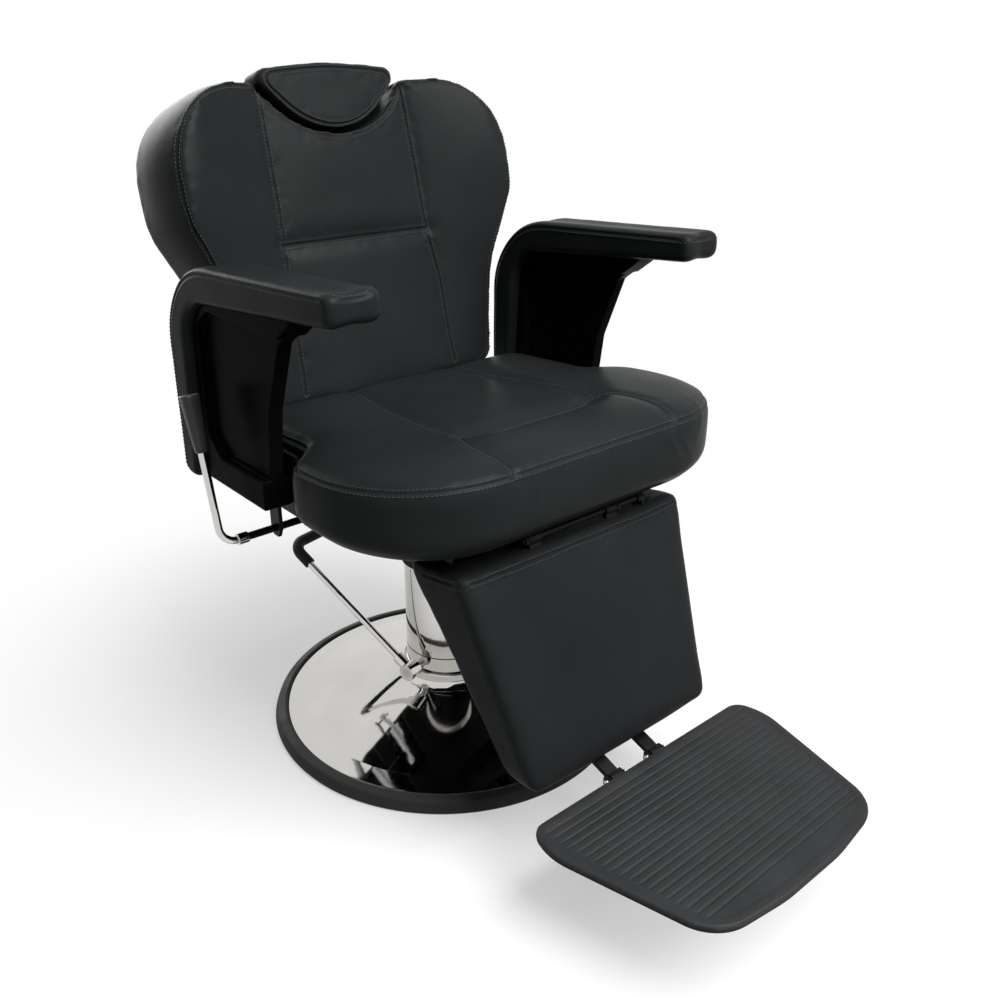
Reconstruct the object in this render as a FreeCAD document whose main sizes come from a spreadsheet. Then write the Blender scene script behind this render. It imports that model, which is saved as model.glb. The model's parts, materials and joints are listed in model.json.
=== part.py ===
import FreeCAD
import Part
import math
import os
import re
import Sketcher
from FreeCAD import Placement, Rotation, Vector

# Barber chair, in millimetres. +Z is up, the sitter looks along -Y, and the origin lies on the floor
# under the column. At rest the seat is at its lowest, the back upright and the leg rest hanging.

SIZES = {
    # Clearances
    "run_gap": 0.05,
    "fit_gap": 0.3,
    # Floor ring, base plate and dome
    "ring_radius": 315,
    "ring_width": 53,
    "ring_height": 26,
    "ring_lip": 24,
    "ring_bevel": 8,
    "plate_ledge": 10,
    "plate_ledge_width": 14,
    "dome_ledge": 18,
    "plate_thick": 6,
    "dome_wall": 2.5,
    "dome_edge": 5,
    "band_width": 34,
    "band_rise": 6,
    "neck_radius": 80,
    "neck_foot": 80,
    "neck_top": 104,
    # Swivel socket and its bolts
    "flange_radius": 108,
    "flange_thick": 10,
    "washer_thick": 4,
    "washer_bore": 30,
    "bolt_circle": 93,
    "bolt_radius": 5,
    "bolt_head": 9,
    "bolt_head_height": 6,
    # Pump, ram and shroud
    "pump_radius": 74,
    "pump_top": 132,
    "tube_radius": 50,
    "tube_wall": 8,
    "tube_foot": 50,
    "tube_top": 270,
    "gland_height": 14,
    "ram_radius": 30,
    "piston_height": 20,
    "piston_lift": 10,
    "shroud_radius": 73.5,
    "shroud_wall": 2,
    "shroud_gap": 1,
    "shroud_top": 302,
    "shroud_cap": 3,
    "shroud_rim": 79,
    # Pump lever
    "lever_heading": 103.5,
    "lever_rise": 30.8,
    "shaft_height": 118,
    "shaft_radius": 8,
    "shaft_depth": 20,
    "clamp_reach": 104,
    "clamp_radius": 15,
    "clamp_width": 24,
    "clamp_neck": 34,
    "clamp_neck_radius": 10,
    "lever_radius": 6,
    "lever_length": 316,
    "pedal_length": 130,
    "pedal_bend": 24,
    "sleeve_radius": 10,
    "sleeve_lead": 24,
    "sleeve_cap": 4,
    # Mounting plate and seat frame
    "hub_radius": 40,
    "mount_z": 352,
    "mount_thick": 8,
    "mount_width": 240,
    "mount_depth": 250,
    "riser_inner": 100,
    "riser_thick": 6,
    "riser_foot": 220,
    "riser_head": 290,
    "rail_z": 458,
    "rail_height": 22,
    "rail_width": 30,
    "rail_inner": 172,
    "rail_front": 245,
    "rail_rear": 200,
    "cross_depth": 30,
    "cross_mid": 115,
    "board_thick": 12,
    "board_half": 275,
    "board_front": 270,
    "board_rear": 140,
    "board_cut": 60,
    # Seat cushion
    "seat_half": 353,
    "seat_rear_half": 290,
    "seat_front": 358,
    "seat_rear": 148,
    "shoulder_back": 52,
    "shoulder_front": 112,
    "shoulder_inner_round": 40,
    "shoulder_outer_round": 50,
    "seat_front_round": 185,
    "seat_rear_round": 25,
    "seat_boxing": 125,
    "seat_crown": 26,
    "seat_draw": 40,
    "seat_brow": 24,
    "seat_slope": 3.5,
    # Arm pads, side panels and their brackets
    "arm_inner": 281,
    "arm_width": 77,
    "arm_front": 250,
    "arm_rear": 207,
    "arm_nose_top": 846,
    "arm_nose_bottom": 804,
    "arm_top_drop": 27,
    "arm_under_drop": 36,
    "arm_foot": 488,
    "arm_band_foot": 165,
    "arm_band_head": 147,
    "arm_shoulder_round": 140,
    "arm_armpit_round": 62,
    "arm_nose_round": 15,
    "arm_foot_round": 20,
    "arm_foot_inner_round": 12,
    "arm_draw": 7,
    "panel_inner": 299,
    "panel_thick": 46,
    "panel_foot": 493,
    "panel_foot_front": 24,
    "panel_shoulder": 544,
    "panel_nose": 140,
    "panel_lip": 12,
    "panel_throat": 82,
    "panel_throat_z": 748,
    "panel_waist": 40,
    "panel_waist_z": 642,
    "panel_recess": 12,
    "panel_border": 22,
    "panel_gap": 1,
    "panel_kick": 3,
    "panel_dip": 8,
    "bracket_front": 40,
    "bracket_rear": 64,
    "bracket_thick": 6,
    "bracket_rise": 90,
    # Back rest
    "back_y": 159,
    "back_z": 568,
    "back_tilt": 14.26,
    "back_foot_half": 240,
    "back_waist_half": 269,
    "back_waist": 185,
    "back_half": 321,
    "back_flare": 300,
    "back_top": 503,
    "back_foot_drop": 2,
    "back_foot_round": 30,
    "back_draw": 12,
    "back_waist_round": 120,
    "back_ear_round": 138,
    "back_panel_half": 142,
    "back_cross_seam": 254,
    "bolster_depth": 46,
    "bolster_foot": 10,
    "back_panel_taper": 11,
    "back_crown": 6,
    "seam_depth": 4,
    "seam_half": 4,
    "cushion_depth": 78,
    "back_board_thick": 14,
    "back_board_inset": 1.5,
    "rear_panel_thick": 16,
    "rear_panel_inset": 2,
    "scoop_centre": 580,
    "scoop_radius": 160,
    "scoop_backing": 8,
    "face_margin": 20,
    # Back hinge
    "pivot_y": 215,
    "pivot_z": 505,
    "pivot_radius": 8,
    "pivot_head": 13,
    "hinge_thick": 6,
    "hinge_outer": 165.6,
    "hinge_eye": 16,
    "eye_back": 18,
    "strap_width": 50,
    "strap_thick": 5,
    "strap_rise": 240,
    "strap_drop": 30,
    "stud_radius": 5,
    "stud_proud": 4,
    "eye_trim": 5,
    "hinge_rise": 42,
    "hinge_lean": 3,
    "hinge_back": 34,
    "bracket_root": 40,
    # Headrest
    "head_keel": 371,
    "head_half": 143,
    "head_shoulder": 517,
    "head_rise": 15,
    "head_keel_round": 130,
    "head_shoulder_round": 16,
    "head_top_round": 800,
    "head_thick": 68,
    "head_board_thick": 8,
    "head_board_half": 80,
    "head_board_foot": 462,
    "head_board_top": 508,
    "post_width": 40,
    "post_thick": 8,
    "post_foot": 250,
    "post_slack": 5,
    "guide_wall": 2,
    "guide_foot": 330,
    "guide_top": 412,
    # Leg rest
    "leg_y": 300,
    "leg_z": 470,
    "leg_shaft_radius": 5,
    "leg_eye": 8.5,
    "ear_thick": 6,
    "ear_inner": 90,
    "lever_ear": 138,
    "leg_arm_centre": 78,
    "leg_arm_width": 22,
    "leg_arm_thick": 8,
    "leg_arm_length": 90,
    "crank_thick": 6,
    "crank_run": 117,
    "crank_drop": 70,
    "crank_eye": 11,
    "crank_root": 14,
    "crank_belly": 40,
    "link_thick": 6,
    "link_half": 8,
    "link_end": 12,
    "link_side": 153.3,
    "calf_y": 317,
    "calf_z": 461,
    "calf_tilt": 21.6,
    "calf_length": 331,
    "calf_top_half": 226,
    "calf_foot_half": 189,
    "calf_top_thick": 124,
    "calf_foot_thick": 68,
    "calf_top_slope": 13,
    "calf_foot_slope": 20,
    "calf_crown": 6,
    "calf_crown_round": 3000,
    "calf_draw": 9,
    "calf_front_round": 16,
    "calf_rear_round": 10,
    "leg_plate_half": 95,
    "leg_plate_top": 20,
    "leg_plate_foot": 300,
    "leg_plate_thick": 6,
    # Footplate
    "foot_y": 453,
    "foot_z": 124,
    "foot_bar_centre": 44,
    "foot_bar_width": 22,
    "foot_bar_thick": 8,
    "foot_bar_top": 230,
    "foot_bar_knee": 336,
    "foot_bar_neck": 3,
    "lug_reach": 30,
    "foot_pin_radius": 4,
    "foot_eye": 8,
    "foot_top": 142,
    "foot_thick": 12,
    "foot_rear": 465,
    "foot_front": 761,
    "foot_rear_half": 238,
    "foot_wide_at": 515,
    "foot_front_half": 178,
    "foot_rear_round": 28,
    "foot_front_round": 70,
    "foot_side_round": 100,
    "foot_bow_round": 300,
    "foot_taper": 14,
    "foot_bow": 16,
    "groove_count": 19,
    "groove_first": 485,
    "groove_last": 717,
    "groove_width": 5,
    "groove_depth": 2.5,
    "groove_first_half": 216,
    "groove_last_half": 166,
    "foot_lug_thick": 6,
    # Recline lever and lock
    "rod_y": 60,
    "rod_z": 420,
    "rod_radius": 6,
    "rod_end": 168,
    "stem_clear": 6,
    "stem_radius": 6,
    "stem_bend": 25,
    "stem_lean": 13.3,
    "stem_length": 142,
    "stem_short": 20,
    "grip_length": 86,
    "grip_foot_radius": 9,
    "grip_top_radius": 14,
    "collar_radius": 9,
    "collar_width": 8,
    "tab_inner": 282,
    "tab_thick": 6,
    "tab_width": 28,
    "lock_side": 143,
    "lock_radius": 13,
    "lock_front": 10,
    "lock_length": 156,
    "lock_wall": 3,
    "lock_rod_radius": 5,
    "lock_arm": 80,
    "lock_sweep": 50,
    "lock_eye_half": 12,
    "lock_eye_thick": 12,
    "lock_slack": 0.9,
    "lock_bracket": 12,
}

doc = FreeCAD.newDocument("barber_chair")
sheet = doc.addObject("Spreadsheet::Sheet", "dims")
for row, (name, number) in enumerate(SIZES.items(), 1):
    sheet.set(f"A{row}", name)
    sheet.set(f"B{row}", str(number))
    sheet.setAlias(f"B{row}", name)
doc.recompute()

nodes = []


def rule(text):
    """A sheet formula from words that name the sheet's cells."""
    return re.sub(r"[a-z_]+", lambda word: f"dims.{word[0]}" if word[0] in SIZES else word[0], str(text))


def size(text):
    """The value of a formula, read from the sheet."""
    return float(sheet.evalExpression(rule(text)))


def bind(item, **rules):
    for name, text in rules.items():
        item.setExpression(name, rule(text))


def place(item, x=0, y=0, z=0):
    for axis, text in zip("xyz", (x, y, z)):
        item.setExpression(f"Placement.Base.{axis}", rule(text))


def node(item, label, frame=None):
    """Names a finished sub-part and, where it was drawn in a tilted frame, sets it there."""
    item.Label = label
    if frame:
        item.Placement = frame
    nodes.append(item)
    return item


# Building blocks


def box(x, y, z):
    """A block between pairs of formulas along each axis."""
    item = doc.addObject("Part::Box", "Block")
    bind(item, Length=f"({x[1]}) - ({x[0]})", Width=f"({y[1]}) - ({y[0]})", Height=f"({z[1]}) - ({z[0]})")
    place(item, x[0], y[0], z[0])
    return item


def rod(axis, radius, span, u, v):
    """A round bar along X, Y or Z between two formulas, with its axis at u, v on the other two axes."""
    item = doc.addObject("Part::Cylinder", "Bar")
    bind(item, Radius=radius, Height=f"({span[1]}) - ({span[0]})")
    turn = {"x": Rotation(Vector(0, 1, 0), 90), "y": Rotation(Vector(1, 0, 0), -90), "z": Rotation()}[axis]
    item.Placement = Placement(Vector(), turn)
    spots = {"x": (span[0], u, v), "y": (u, span[0], v), "z": (u, v, span[0])}[axis]
    place(item, *spots)
    return item


def hexagon(radius, height, x, y, z):
    item = doc.addObject("Part::Prism", "Head")
    item.Polygon = 6
    bind(item, Circumradius=radius, Height=height)
    place(item, x, y, z)
    return item


def joined(parts):
    item = doc.addObject("Part::MultiFuse", "Joined")
    item.Shapes = parts
    return item


def together(parts):
    item = doc.addObject("Part::Compound", "Set")
    item.Links = parts
    return item


def cut(base, tool):
    item = doc.addObject("Part::Cut", "Cut")
    item.Base = base
    item.Tool = tool
    return item


def other_side(source):
    """The same piece on the other side of the chair."""
    item = doc.addObject("Part::Mirroring", "Other")
    item.Source = source
    item.Normal = Vector(1, 0, 0)
    return item


def mirrored(source, label):
    return node(other_side(source), label)


def pair(source, label):
    """A small piece and its like on the other side, as one named set."""
    return node(together([source, other_side(source)]), label)


def outline(body, plane, corners, holes=()):
    """A sketch of straight edges and round holes, every coordinate a formula."""
    sketch = body.newObject("Sketcher::SketchObject", "Outline")
    origin_plane = next(item for item in body.Origin.OriginFeatures if item.Role == plane)
    sketch.AttachmentSupport = (origin_plane, [""])
    sketch.MapMode = "FlatFace"
    spots = [Vector(size(a), size(b), 0) for a, b in corners]
    edges = [Part.LineSegment(spot, spots[(i + 1) % len(spots)]) for i, spot in enumerate(spots)]
    circles = [Part.Circle(Vector(size(a), size(b), 0), Vector(0, 0, 1), size(r)) for a, b, r in holes]
    sketch.addGeometry(edges + circles, False)
    for i in range(len(edges)):
        sketch.addConstraint(Sketcher.Constraint("Coincident", i, 2, (i + 1) % len(edges), 1))
    pinned = [(i, 1, a, b) for i, (a, b) in enumerate(corners)]
    pinned += [(len(edges) + i, 3, a, b) for i, (a, b, _) in enumerate(holes)]
    for edge, end, a, b in pinned:
        for kind, text in (("DistanceX", a), ("DistanceY", b)):
            index = sketch.addConstraint(Sketcher.Constraint(kind, -1, 1, edge, end, size(text)))
            sketch.setExpression(f"Constraints[{index}]", rule(text))
    for i, (_, _, radius) in enumerate(holes):
        index = sketch.addConstraint(Sketcher.Constraint("Radius", len(edges) + i, size(radius)))
        sketch.setExpression(f"Constraints[{index}]", rule(radius))
    return sketch


def revolved(corners):
    """A round piece from its half section, given as radius and height."""
    body = doc.addObject("PartDesign::Body", "Turned")
    sketch = outline(body, "XZ_Plane", corners)
    turn = body.newObject("PartDesign::Revolution", "Turn")
    turn.Profile = sketch
    turn.ReferenceAxis = (sketch, ["V_Axis"])
    turn.Angle = 360
    doc.recompute()
    return body


def sheared(plane, corners, thickness, start, holes=()):
    """A flat piece: an outline in a plane, given thickness from start along the plane's normal."""
    body = doc.addObject("PartDesign::Body", "Flat")
    sketch = outline(body, plane, corners, holes)
    pad = body.newObject("PartDesign::Pad", "Pad")
    pad.Profile = sketch
    bind(pad, Length=thickness)
    axis = {"YZ_Plane": Vector(1, 0, 0), "XY_Plane": Vector(0, 0, 1)}[plane]
    body.Placement = Placement(axis * size(start), Rotation())
    doc.recompute()
    return body


def round_edges(body, radius, chosen):
    """Rounds the edges of a body that the test picks."""
    base = body.Tip
    edges = [f"Edge{i}" for i, edge in enumerate(base.Shape.Edges, 1) if chosen(edge)]
    fillet = body.newObject("PartDesign::Fillet", "Round")
    fillet.Base = (base, edges)
    bind(fillet, Radius=radius)
    body.Tip = fillet
    doc.recompute()


def rounded(corners, lift, inset=0.0):
    """A closed wire through (a, b, radius) corners, drawn in by inset, each corner turned into an arc."""
    spots = [Vector(a, b, 0) for a, b, _ in corners]
    turns = []
    for i, (_, _, radius) in enumerate(corners):
        before = (spots[i] - spots[i - 1]).normalize()
        after = (spots[(i + 1) % len(spots)] - spots[i]).normalize()
        turn = math.atan2(before.x * after.y - before.y * after.x, before.dot(after))
        inward = Vector(-before.y - after.y, before.x + after.x, 0)
        point = spots[i] + inward * (inset / (1 + before.dot(after)))
        radius -= math.copysign(inset, turn)
        reach = radius * math.tan(abs(turn) / 2)
        depth = radius * (1 / math.cos(turn / 2) - 1)
        middle = point + (after - before).normalize() * depth
        turns.append((point - before * reach, middle, point + after * reach))
    edges = []
    for i, (start, middle, end) in enumerate(turns):
        edges.append(Part.LineSegment(lift(turns[i - 1][2]), lift(start)).toShape())
        edges.append(Part.Arc(lift(start), lift(middle), lift(end)).toShape())
    return Part.Wire(edges)


def both_sides(corners):
    """The outline that mirrors a right half, listed from the bottom or rear upwards."""
    return corners + [(-a, b, radius) for a, b, radius in reversed(corners)]


def scaled(corners, factor, middle):
    """Corners drawn in towards a middle height, for a crown."""
    return [(a * factor, middle + (b - middle) * factor, radius * factor) for a, b, radius in corners]


def form(shape, label, frame=None):
    """A soft or bent piece whose shape no single feature makes."""
    item = doc.addObject("Part::Feature", "Form")
    item.Shape = shape
    if frame:
        item.Placement = frame
    return node(item, label)


def bent_bar(points, bends, radius):
    """A round bar along straight runs, with an arc at each inner point."""
    edges = []
    start = points[0]
    for point, after, bend in zip(points[1:-1], points[2:], bends):
        inward = (point - start).normalize()
        outward = (after - point).normalize()
        turn = inward.getAngle(outward)
        reach = bend * math.tan(turn / 2)
        depth = bend * (1 / math.cos(turn / 2) - 1)
        first = point - inward * reach
        last = point + outward * reach
        edges.append(Part.LineSegment(start, first).toShape())
        edges.append(Part.Arc(first, point + (outward - inward).normalize() * depth, last).toShape())
        start = last
    edges.append(Part.LineSegment(start, points[-1]).toShape())
    path = Part.Wire(edges)
    circle = Part.Wire(Part.Circle(points[0], points[1] - points[0], radius).toShape())
    return path.makePipeShell([circle], True, True)


# Frames of the tilted assemblies


def axle_frame():
    """Pump shaft along X, turned so that the lever points to its heading."""
    return Placement(Vector(0, 0, size("shaft_height")), Rotation(Vector(0, 0, 1), size("lever_heading - 90")))


def lever_frame():
    return axle_frame().multiply(Placement(Vector(), Rotation(Vector(1, 0, 0), size("lever_rise"))))


def back_frame():
    """X across, Y into the back rest and Z up along its front face."""
    return Placement(Vector(0, size("back_y"), size("back_z")), Rotation(Vector(1, 0, 0), -size("back_tilt")))


def calf_frame():
    """X across, Y into the calf pad and Z up along its front face, from its top front edge."""
    return Placement(Vector(0, -size("calf_y"), size("calf_z")), Rotation(Vector(1, 0, 0), -size("calf_tilt")))


# Base on the floor


def make_base():
    inner = "ring_radius - ring_width"
    ledge = f"{inner} + plate_ledge_width"
    lip = "ring_radius - ring_lip"
    node(revolved([
        (inner, 0), ("ring_radius", 0), ("ring_radius", "ring_height - ring_bevel"),
        ("ring_radius - ring_bevel", "ring_height"), (lip, "ring_height"), (lip, "dome_ledge"),
        (ledge, "dome_ledge"), (ledge, "plate_ledge"), (inner, "plate_ledge")]), "floor_ring")

    corners = range(45, 360, 90)
    spots = [(f"bolt_circle * cos({angle})", f"bolt_circle * sin({angle})") for angle in corners]
    plate_top = "plate_ledge + plate_thick"
    flange_top = f"{plate_top} + flange_thick"

    def bolt_holes():
        return together([rod("z", "bolt_radius + fit_gap", (0, "neck_foot"), x, y) for x, y in spots])

    plate = rod("z", f"{ledge} - fit_gap", ("plate_ledge", plate_top), 0, 0)
    node(cut(plate, bolt_holes()), "base_plate")

    edge = f"{lip} - fit_gap"
    band = f"{lip} - band_width"
    foot = "dome_ledge + dome_edge"
    dome = revolved([
        (f"{edge} - dome_wall", "dome_ledge"), (edge, "dome_ledge"), (edge, foot),
        (band, f"{foot} + band_rise"),
        ("neck_radius", "neck_foot"), ("neck_radius", "neck_top"), ("neck_radius - dome_wall", "neck_top"),
        ("neck_radius - dome_wall", "neck_foot - dome_wall"), (band, f"{foot} + band_rise - dome_wall"),
        (f"{edge} - dome_wall", f"{foot} - dome_wall")])
    node(dome, "base_dome")

    bore = "pump_radius + run_gap"
    wall = "neck_radius - dome_wall - fit_gap"
    socket = revolved([
        (bore, plate_top), ("flange_radius", plate_top), ("flange_radius", flange_top), (wall, flange_top),
        (wall, "neck_top - dome_wall"), (bore, "neck_top - dome_wall")])
    node(cut(socket, bolt_holes()), "swivel_socket")
    bolts = [joined([rod("z", "bolt_radius", ("plate_ledge", flange_top), x, y),
                     hexagon("bolt_head", "bolt_head_height", x, y, flange_top)]) for x, y in spots]
    node(together(bolts), "socket_bolts")
    washer_top = f"{plate_top} + washer_thick"
    node(revolved([
        ("washer_bore", plate_top), ("pump_radius - fit_gap", plate_top),
        ("pump_radius - fit_gap", washer_top), ("washer_bore", washer_top)]), "thrust_washer")


# Pump that turns in the socket, and its foot lever


def make_pump():
    foot = "plate_ledge + plate_thick + washer_thick"
    bore = "tube_radius + fit_gap"
    housing = revolved([
        (0, foot), ("pump_radius", foot), ("pump_radius", "pump_top"), (bore, "pump_top"),
        (bore, "tube_foot"), (0, "tube_foot")])
    deep = ("-2 * pump_radius", "-(pump_radius - shaft_depth)")
    hole = together([rod("x", "shaft_radius + run_gap", deep, 0, 0)])
    hole.Placement = axle_frame()
    node(cut(housing, hole), "pump_housing")

    inside = "tube_radius - tube_wall"
    gland_top = "tube_top + gland_height"
    node(revolved([
        (inside, "tube_foot"), ("tube_radius", "tube_foot"), ("tube_radius", "tube_top"),
        (inside, "tube_top")]),
        "pump_cylinder")
    node(revolved([
        ("ram_radius + run_gap", "tube_top"), ("tube_radius", "tube_top"), ("tube_radius", gland_top),
        ("ram_radius + run_gap", gland_top)]), "cylinder_gland")


def make_pump_lever():
    clamp = ("-(clamp_reach + clamp_width / 2)", "-(clamp_reach - clamp_width / 2)")
    shaft_span = (clamp[0], "-(pump_radius - shaft_depth) - fit_gap")
    node(together([rod("x", "shaft_radius", shaft_span, 0, 0)]), "pump_shaft", lever_frame())

    hub = rod("x", "clamp_radius", clamp, 0, 0)
    neck = rod("y", "clamp_neck_radius", (0, "clamp_neck"), "-clamp_reach", 0)
    bores = together([rod("x", "shaft_radius", shaft_span, 0, 0),
                      rod("y", "lever_radius", (0, "2 * clamp_neck"), "-clamp_reach", 0)])
    node(cut(joined([hub, neck]), bores), "lever_clamp", lever_frame())

    reach = -size("clamp_reach")
    start = Vector(reach, size("shaft_radius + fit_gap"), 0)
    corner = Vector(reach, size("lever_length"), 0)
    end = Vector(reach + size("pedal_length"), size("lever_length"), 0)
    bend = size("pedal_bend")
    bar = bent_bar([start, corner, end], [bend], size("lever_radius"))
    form(bar, "lever_rod", lever_frame())

    grip_start = Vector(reach, size("lever_length - pedal_bend - sleeve_lead"), 0)
    grip_end = end + Vector(size("sleeve_cap"), 0, 0)
    sleeve = bent_bar([grip_start, corner, grip_end], [bend], size("sleeve_radius"))
    form(sleeve.cut(bar), "pedal_sleeve", lever_frame())


# Ram, shroud and frame under the seat


def make_frame():
    piston = "tube_foot + piston_lift"
    mount_top = "mount_z + mount_thick"
    node(revolved([
        (0, piston), ("tube_radius - tube_wall - run_gap", piston),
        ("tube_radius - tube_wall - run_gap", f"{piston} + piston_height"),
        ("ram_radius", f"{piston} + piston_height"), ("ram_radius", mount_top), (0, mount_top)]), "lift_ram")
    inside = "shroud_radius - shroud_wall"
    bore = "ram_radius + run_gap"
    foot = "pump_top + shroud_gap"
    cap = "shroud_top - shroud_cap"
    node(revolved([
        (inside, foot), ("shroud_radius", foot), ("shroud_radius", cap), ("shroud_rim", cap),
        ("shroud_rim", "shroud_top"), (bore, "shroud_top"), (bore, cap), (inside, cap)]), "column_shroud")

    half = ("-mount_width / 2", "mount_width / 2")
    plate = box(half, ("-mount_depth / 2", "mount_depth / 2"), ("mount_z", mount_top))
    hub = rod("z", "hub_radius", ("shroud_top", mount_top), 0, 0)
    node(cut(joined([plate, hub]), rod("z", bore, ("shroud_top", mount_top), 0, 0)), "mount_plate")

    riser = sheared("YZ_Plane", [
        ("-riser_foot / 2", mount_top), ("riser_foot / 2", mount_top), ("riser_head / 2", "rail_z"),
        ("-riser_head / 2", "rail_z")], "riser_thick", "riser_inner")
    pair(riser, "risers")
    rail_top = "rail_z + rail_height"
    outer = "rail_inner + rail_width"
    height = ("rail_z", rail_top)
    rail = node(box(("rail_inner", outer), ("-rail_front", "rail_rear"), height), "rail_right")
    mirrored(rail, "rail_left")
    node(box((f"-({outer})", outer), ("-(rail_front + cross_depth)", "-rail_front"), height), "front_rail")
    spans = [(f"{side} * cross_mid - cross_depth / 2", f"{side} * cross_mid + cross_depth / 2")
             for side in (-1, 1)]
    node(together([box(("-rail_inner", "rail_inner"), span, height) for span in spans]), "cross_rails")

    board = sheared("XY_Plane", [
        ("board_half", "board_rear"), ("-board_half", "board_rear"),
        ("-board_half", "-(board_front - board_cut)"),
        ("-(board_half - board_cut)", "-board_front"), ("board_half - board_cut", "-board_front"),
        ("board_half", "-(board_front - board_cut)")], "board_thick", rail_top)
    return node(board, "seat_board")


# Seat cushion


def make_seat(board):
    foot = size("rail_z + rail_height")
    boxing = size("seat_boxing")
    crown = size("seat_crown")
    slope = math.tan(math.radians(size("seat_slope")))
    half = both_sides([
        (size("seat_half"), -size("seat_front"), size("seat_front_round")),
        (size("seat_half"), -size("shoulder_front"), size("shoulder_outer_round")),
        (size("seat_rear_half"), -size("shoulder_back"), size("shoulder_inner_round")),
        (size("seat_rear_half"), size("seat_rear"), size("seat_rear_round"))])

    def level(rise):
        """A height above the cushion's foot, which falls towards the rear the more the higher it is."""
        fall = slope * min(rise / boxing, 1)
        return lambda p: Vector(p.x, p.y, foot + rise - fall * (p.y + size("seat_front")))

    middle = (size("seat_rear") - size("seat_front")) / 2
    draw = size("seat_draw")
    brow = size("seat_brow")
    sides = [rounded(half, level(rise), inset) for rise, inset in (
        (0, draw), (draw / 8, draw / 2), (draw / 2, draw / 8), (draw, 0), (boxing - brow, 0),
        (boxing - brow / 3, brow / 12), (boxing, brow / 4))]
    top = [rounded(scaled(half, factor, middle), level(boxing + rise * crown)) for rise, factor in (
        (0.35, 0.95), (0.65, 0.88), (0.88, 0.76), (1, 0.58))]
    form(Part.makeLoft(sides + top, True, True).cut(board.Shape), "seat_cushion")


# Arms


def make_arms():
    nose = size("arm_nose_round")
    foot_round = size("arm_foot_round")
    front = -size("arm_front")
    corners = [
        (front, size("arm_nose_bottom"), nose),
        (size("arm_band_head"), size("arm_nose_bottom - arm_under_drop"), size("arm_armpit_round")),
        (size("arm_band_foot"), size("arm_foot"), size("arm_foot_inner_round")),
        (size("arm_rear"), size("arm_foot"), foot_round),
        (size("arm_rear"), size("arm_nose_top - arm_top_drop"), size("arm_shoulder_round")),
        (front, size("arm_nose_top"), nose)]
    inner = size("arm_inner")
    outer = inner + size("arm_width")
    draw = size("arm_draw")
    steps = ((0, draw), (0.4 * draw, 0.4 * draw), (1.6 * draw, 0))
    spots = [(inner + run, inset) for run, inset in steps]
    spots += [(outer - run, inset) for run, inset in reversed(steps)]
    sections = [rounded(corners, lambda p, x=x: Vector(x, p.x, p.y), inset) for x, inset in spots]
    pad = form(Part.makeLoft(sections, True), "arm_pad_right")
    mirrored(pad, "arm_pad_left")

    slope = "arm_under_drop / (arm_band_head + arm_front)"
    nose_top = f"arm_nose_bottom - {slope} * (arm_front - panel_nose) - fit_gap"
    outline_corners = [
        ("-panel_foot_front", "panel_foot"), ("arm_band_foot - panel_gap", "panel_foot"),
        ("arm_band_head - fit_gap", "arm_nose_bottom - arm_under_drop - fit_gap"), ("-panel_nose", nose_top),
        ("-panel_nose + panel_lip", f"{nose_top} - panel_lip"), ("-panel_throat", "panel_throat_z"),
        ("-panel_waist", "panel_waist_z"), ("-panel_foot_front - panel_kick", "panel_shoulder")]
    panel = sheared("YZ_Plane", outline_corners, "panel_thick", "panel_inner")
    armpit = size("arm_nose_bottom - arm_under_drop - fit_gap")
    round_edges(panel, "arm_armpit_round - fit_gap",
                lambda edge: edge.BoundBox.XLength > 1 and abs(edge.BoundBox.ZMax - armpit) < 0.5)
    field = [
        ("-2 * panel_nose", "panel_shoulder"),
        ("arm_band_foot - 3 * panel_border", "panel_shoulder - panel_dip"),
        ("arm_band_foot - panel_border - panel_dip", "panel_shoulder + panel_border"),
        ("arm_band_foot - panel_border - panel_dip", "arm_nose_bottom - 3 * panel_border"),
        ("arm_band_foot - 3 * panel_border", "arm_nose_bottom - 2 * panel_border"),
        ("-2 * panel_nose", "arm_nose_bottom - 2 * panel_border")]
    for face, inward in (("panel_thick", False), ("0", True)):
        sketch = outline(panel, "YZ_Plane", field)
        sketch.setExpression("AttachmentOffset.Base.z", rule(face))
        pocket = panel.newObject("PartDesign::Pocket", "Field")
        pocket.Profile = sketch
        pocket.Reversed = inward
        bind(pocket, Length="panel_recess")
        before = panel.Shape.Volume
        doc.recompute()
        if panel.Shape.Volume >= before:
            raise ValueError("side panel field cuts nothing")
    node(panel, "side_panel_right")
    mirrored(panel, "side_panel_left")

    rail_top = "rail_z + rail_height"
    depth = ("-bracket_front", "bracket_rear")
    shelf = box(("rail_inner + rail_width", "panel_inner"), depth, (f"{rail_top} - bracket_thick", rail_top))
    across = ("panel_inner - bracket_thick", "panel_inner")
    flange = box(across, depth, (rail_top, f"{rail_top} + bracket_rise"))
    pair(joined([shelf, flange]), "arm_brackets")


# Back rest


def back_outline():
    return both_sides([
        (size("back_foot_half"), -size("back_foot_drop"), size("back_foot_round")),
        (size("back_waist_half"), size("back_waist"), size("back_waist_round")),
        (size("back_half"), size("back_flare"), size("back_waist_round")),
        (size("back_half"), size("back_top"), size("back_ear_round"))])


def back_slab(start, depth, inset):
    wire = rounded(back_outline(), lambda p: Vector(p.x, start, p.y), inset)
    return Part.Face(wire).extrude(Vector(0, depth, 0))


def scoop():
    """The round hollow in the top of the back, where the headrest sits."""
    depth = size("2 * bolster_depth + cushion_depth - scoop_backing")
    start = Vector(0, -2 * size("bolster_depth"), size("scoop_centre"))
    return Part.makeCylinder(size("scoop_radius"), depth, start, Vector(0, 1, 0))


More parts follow.
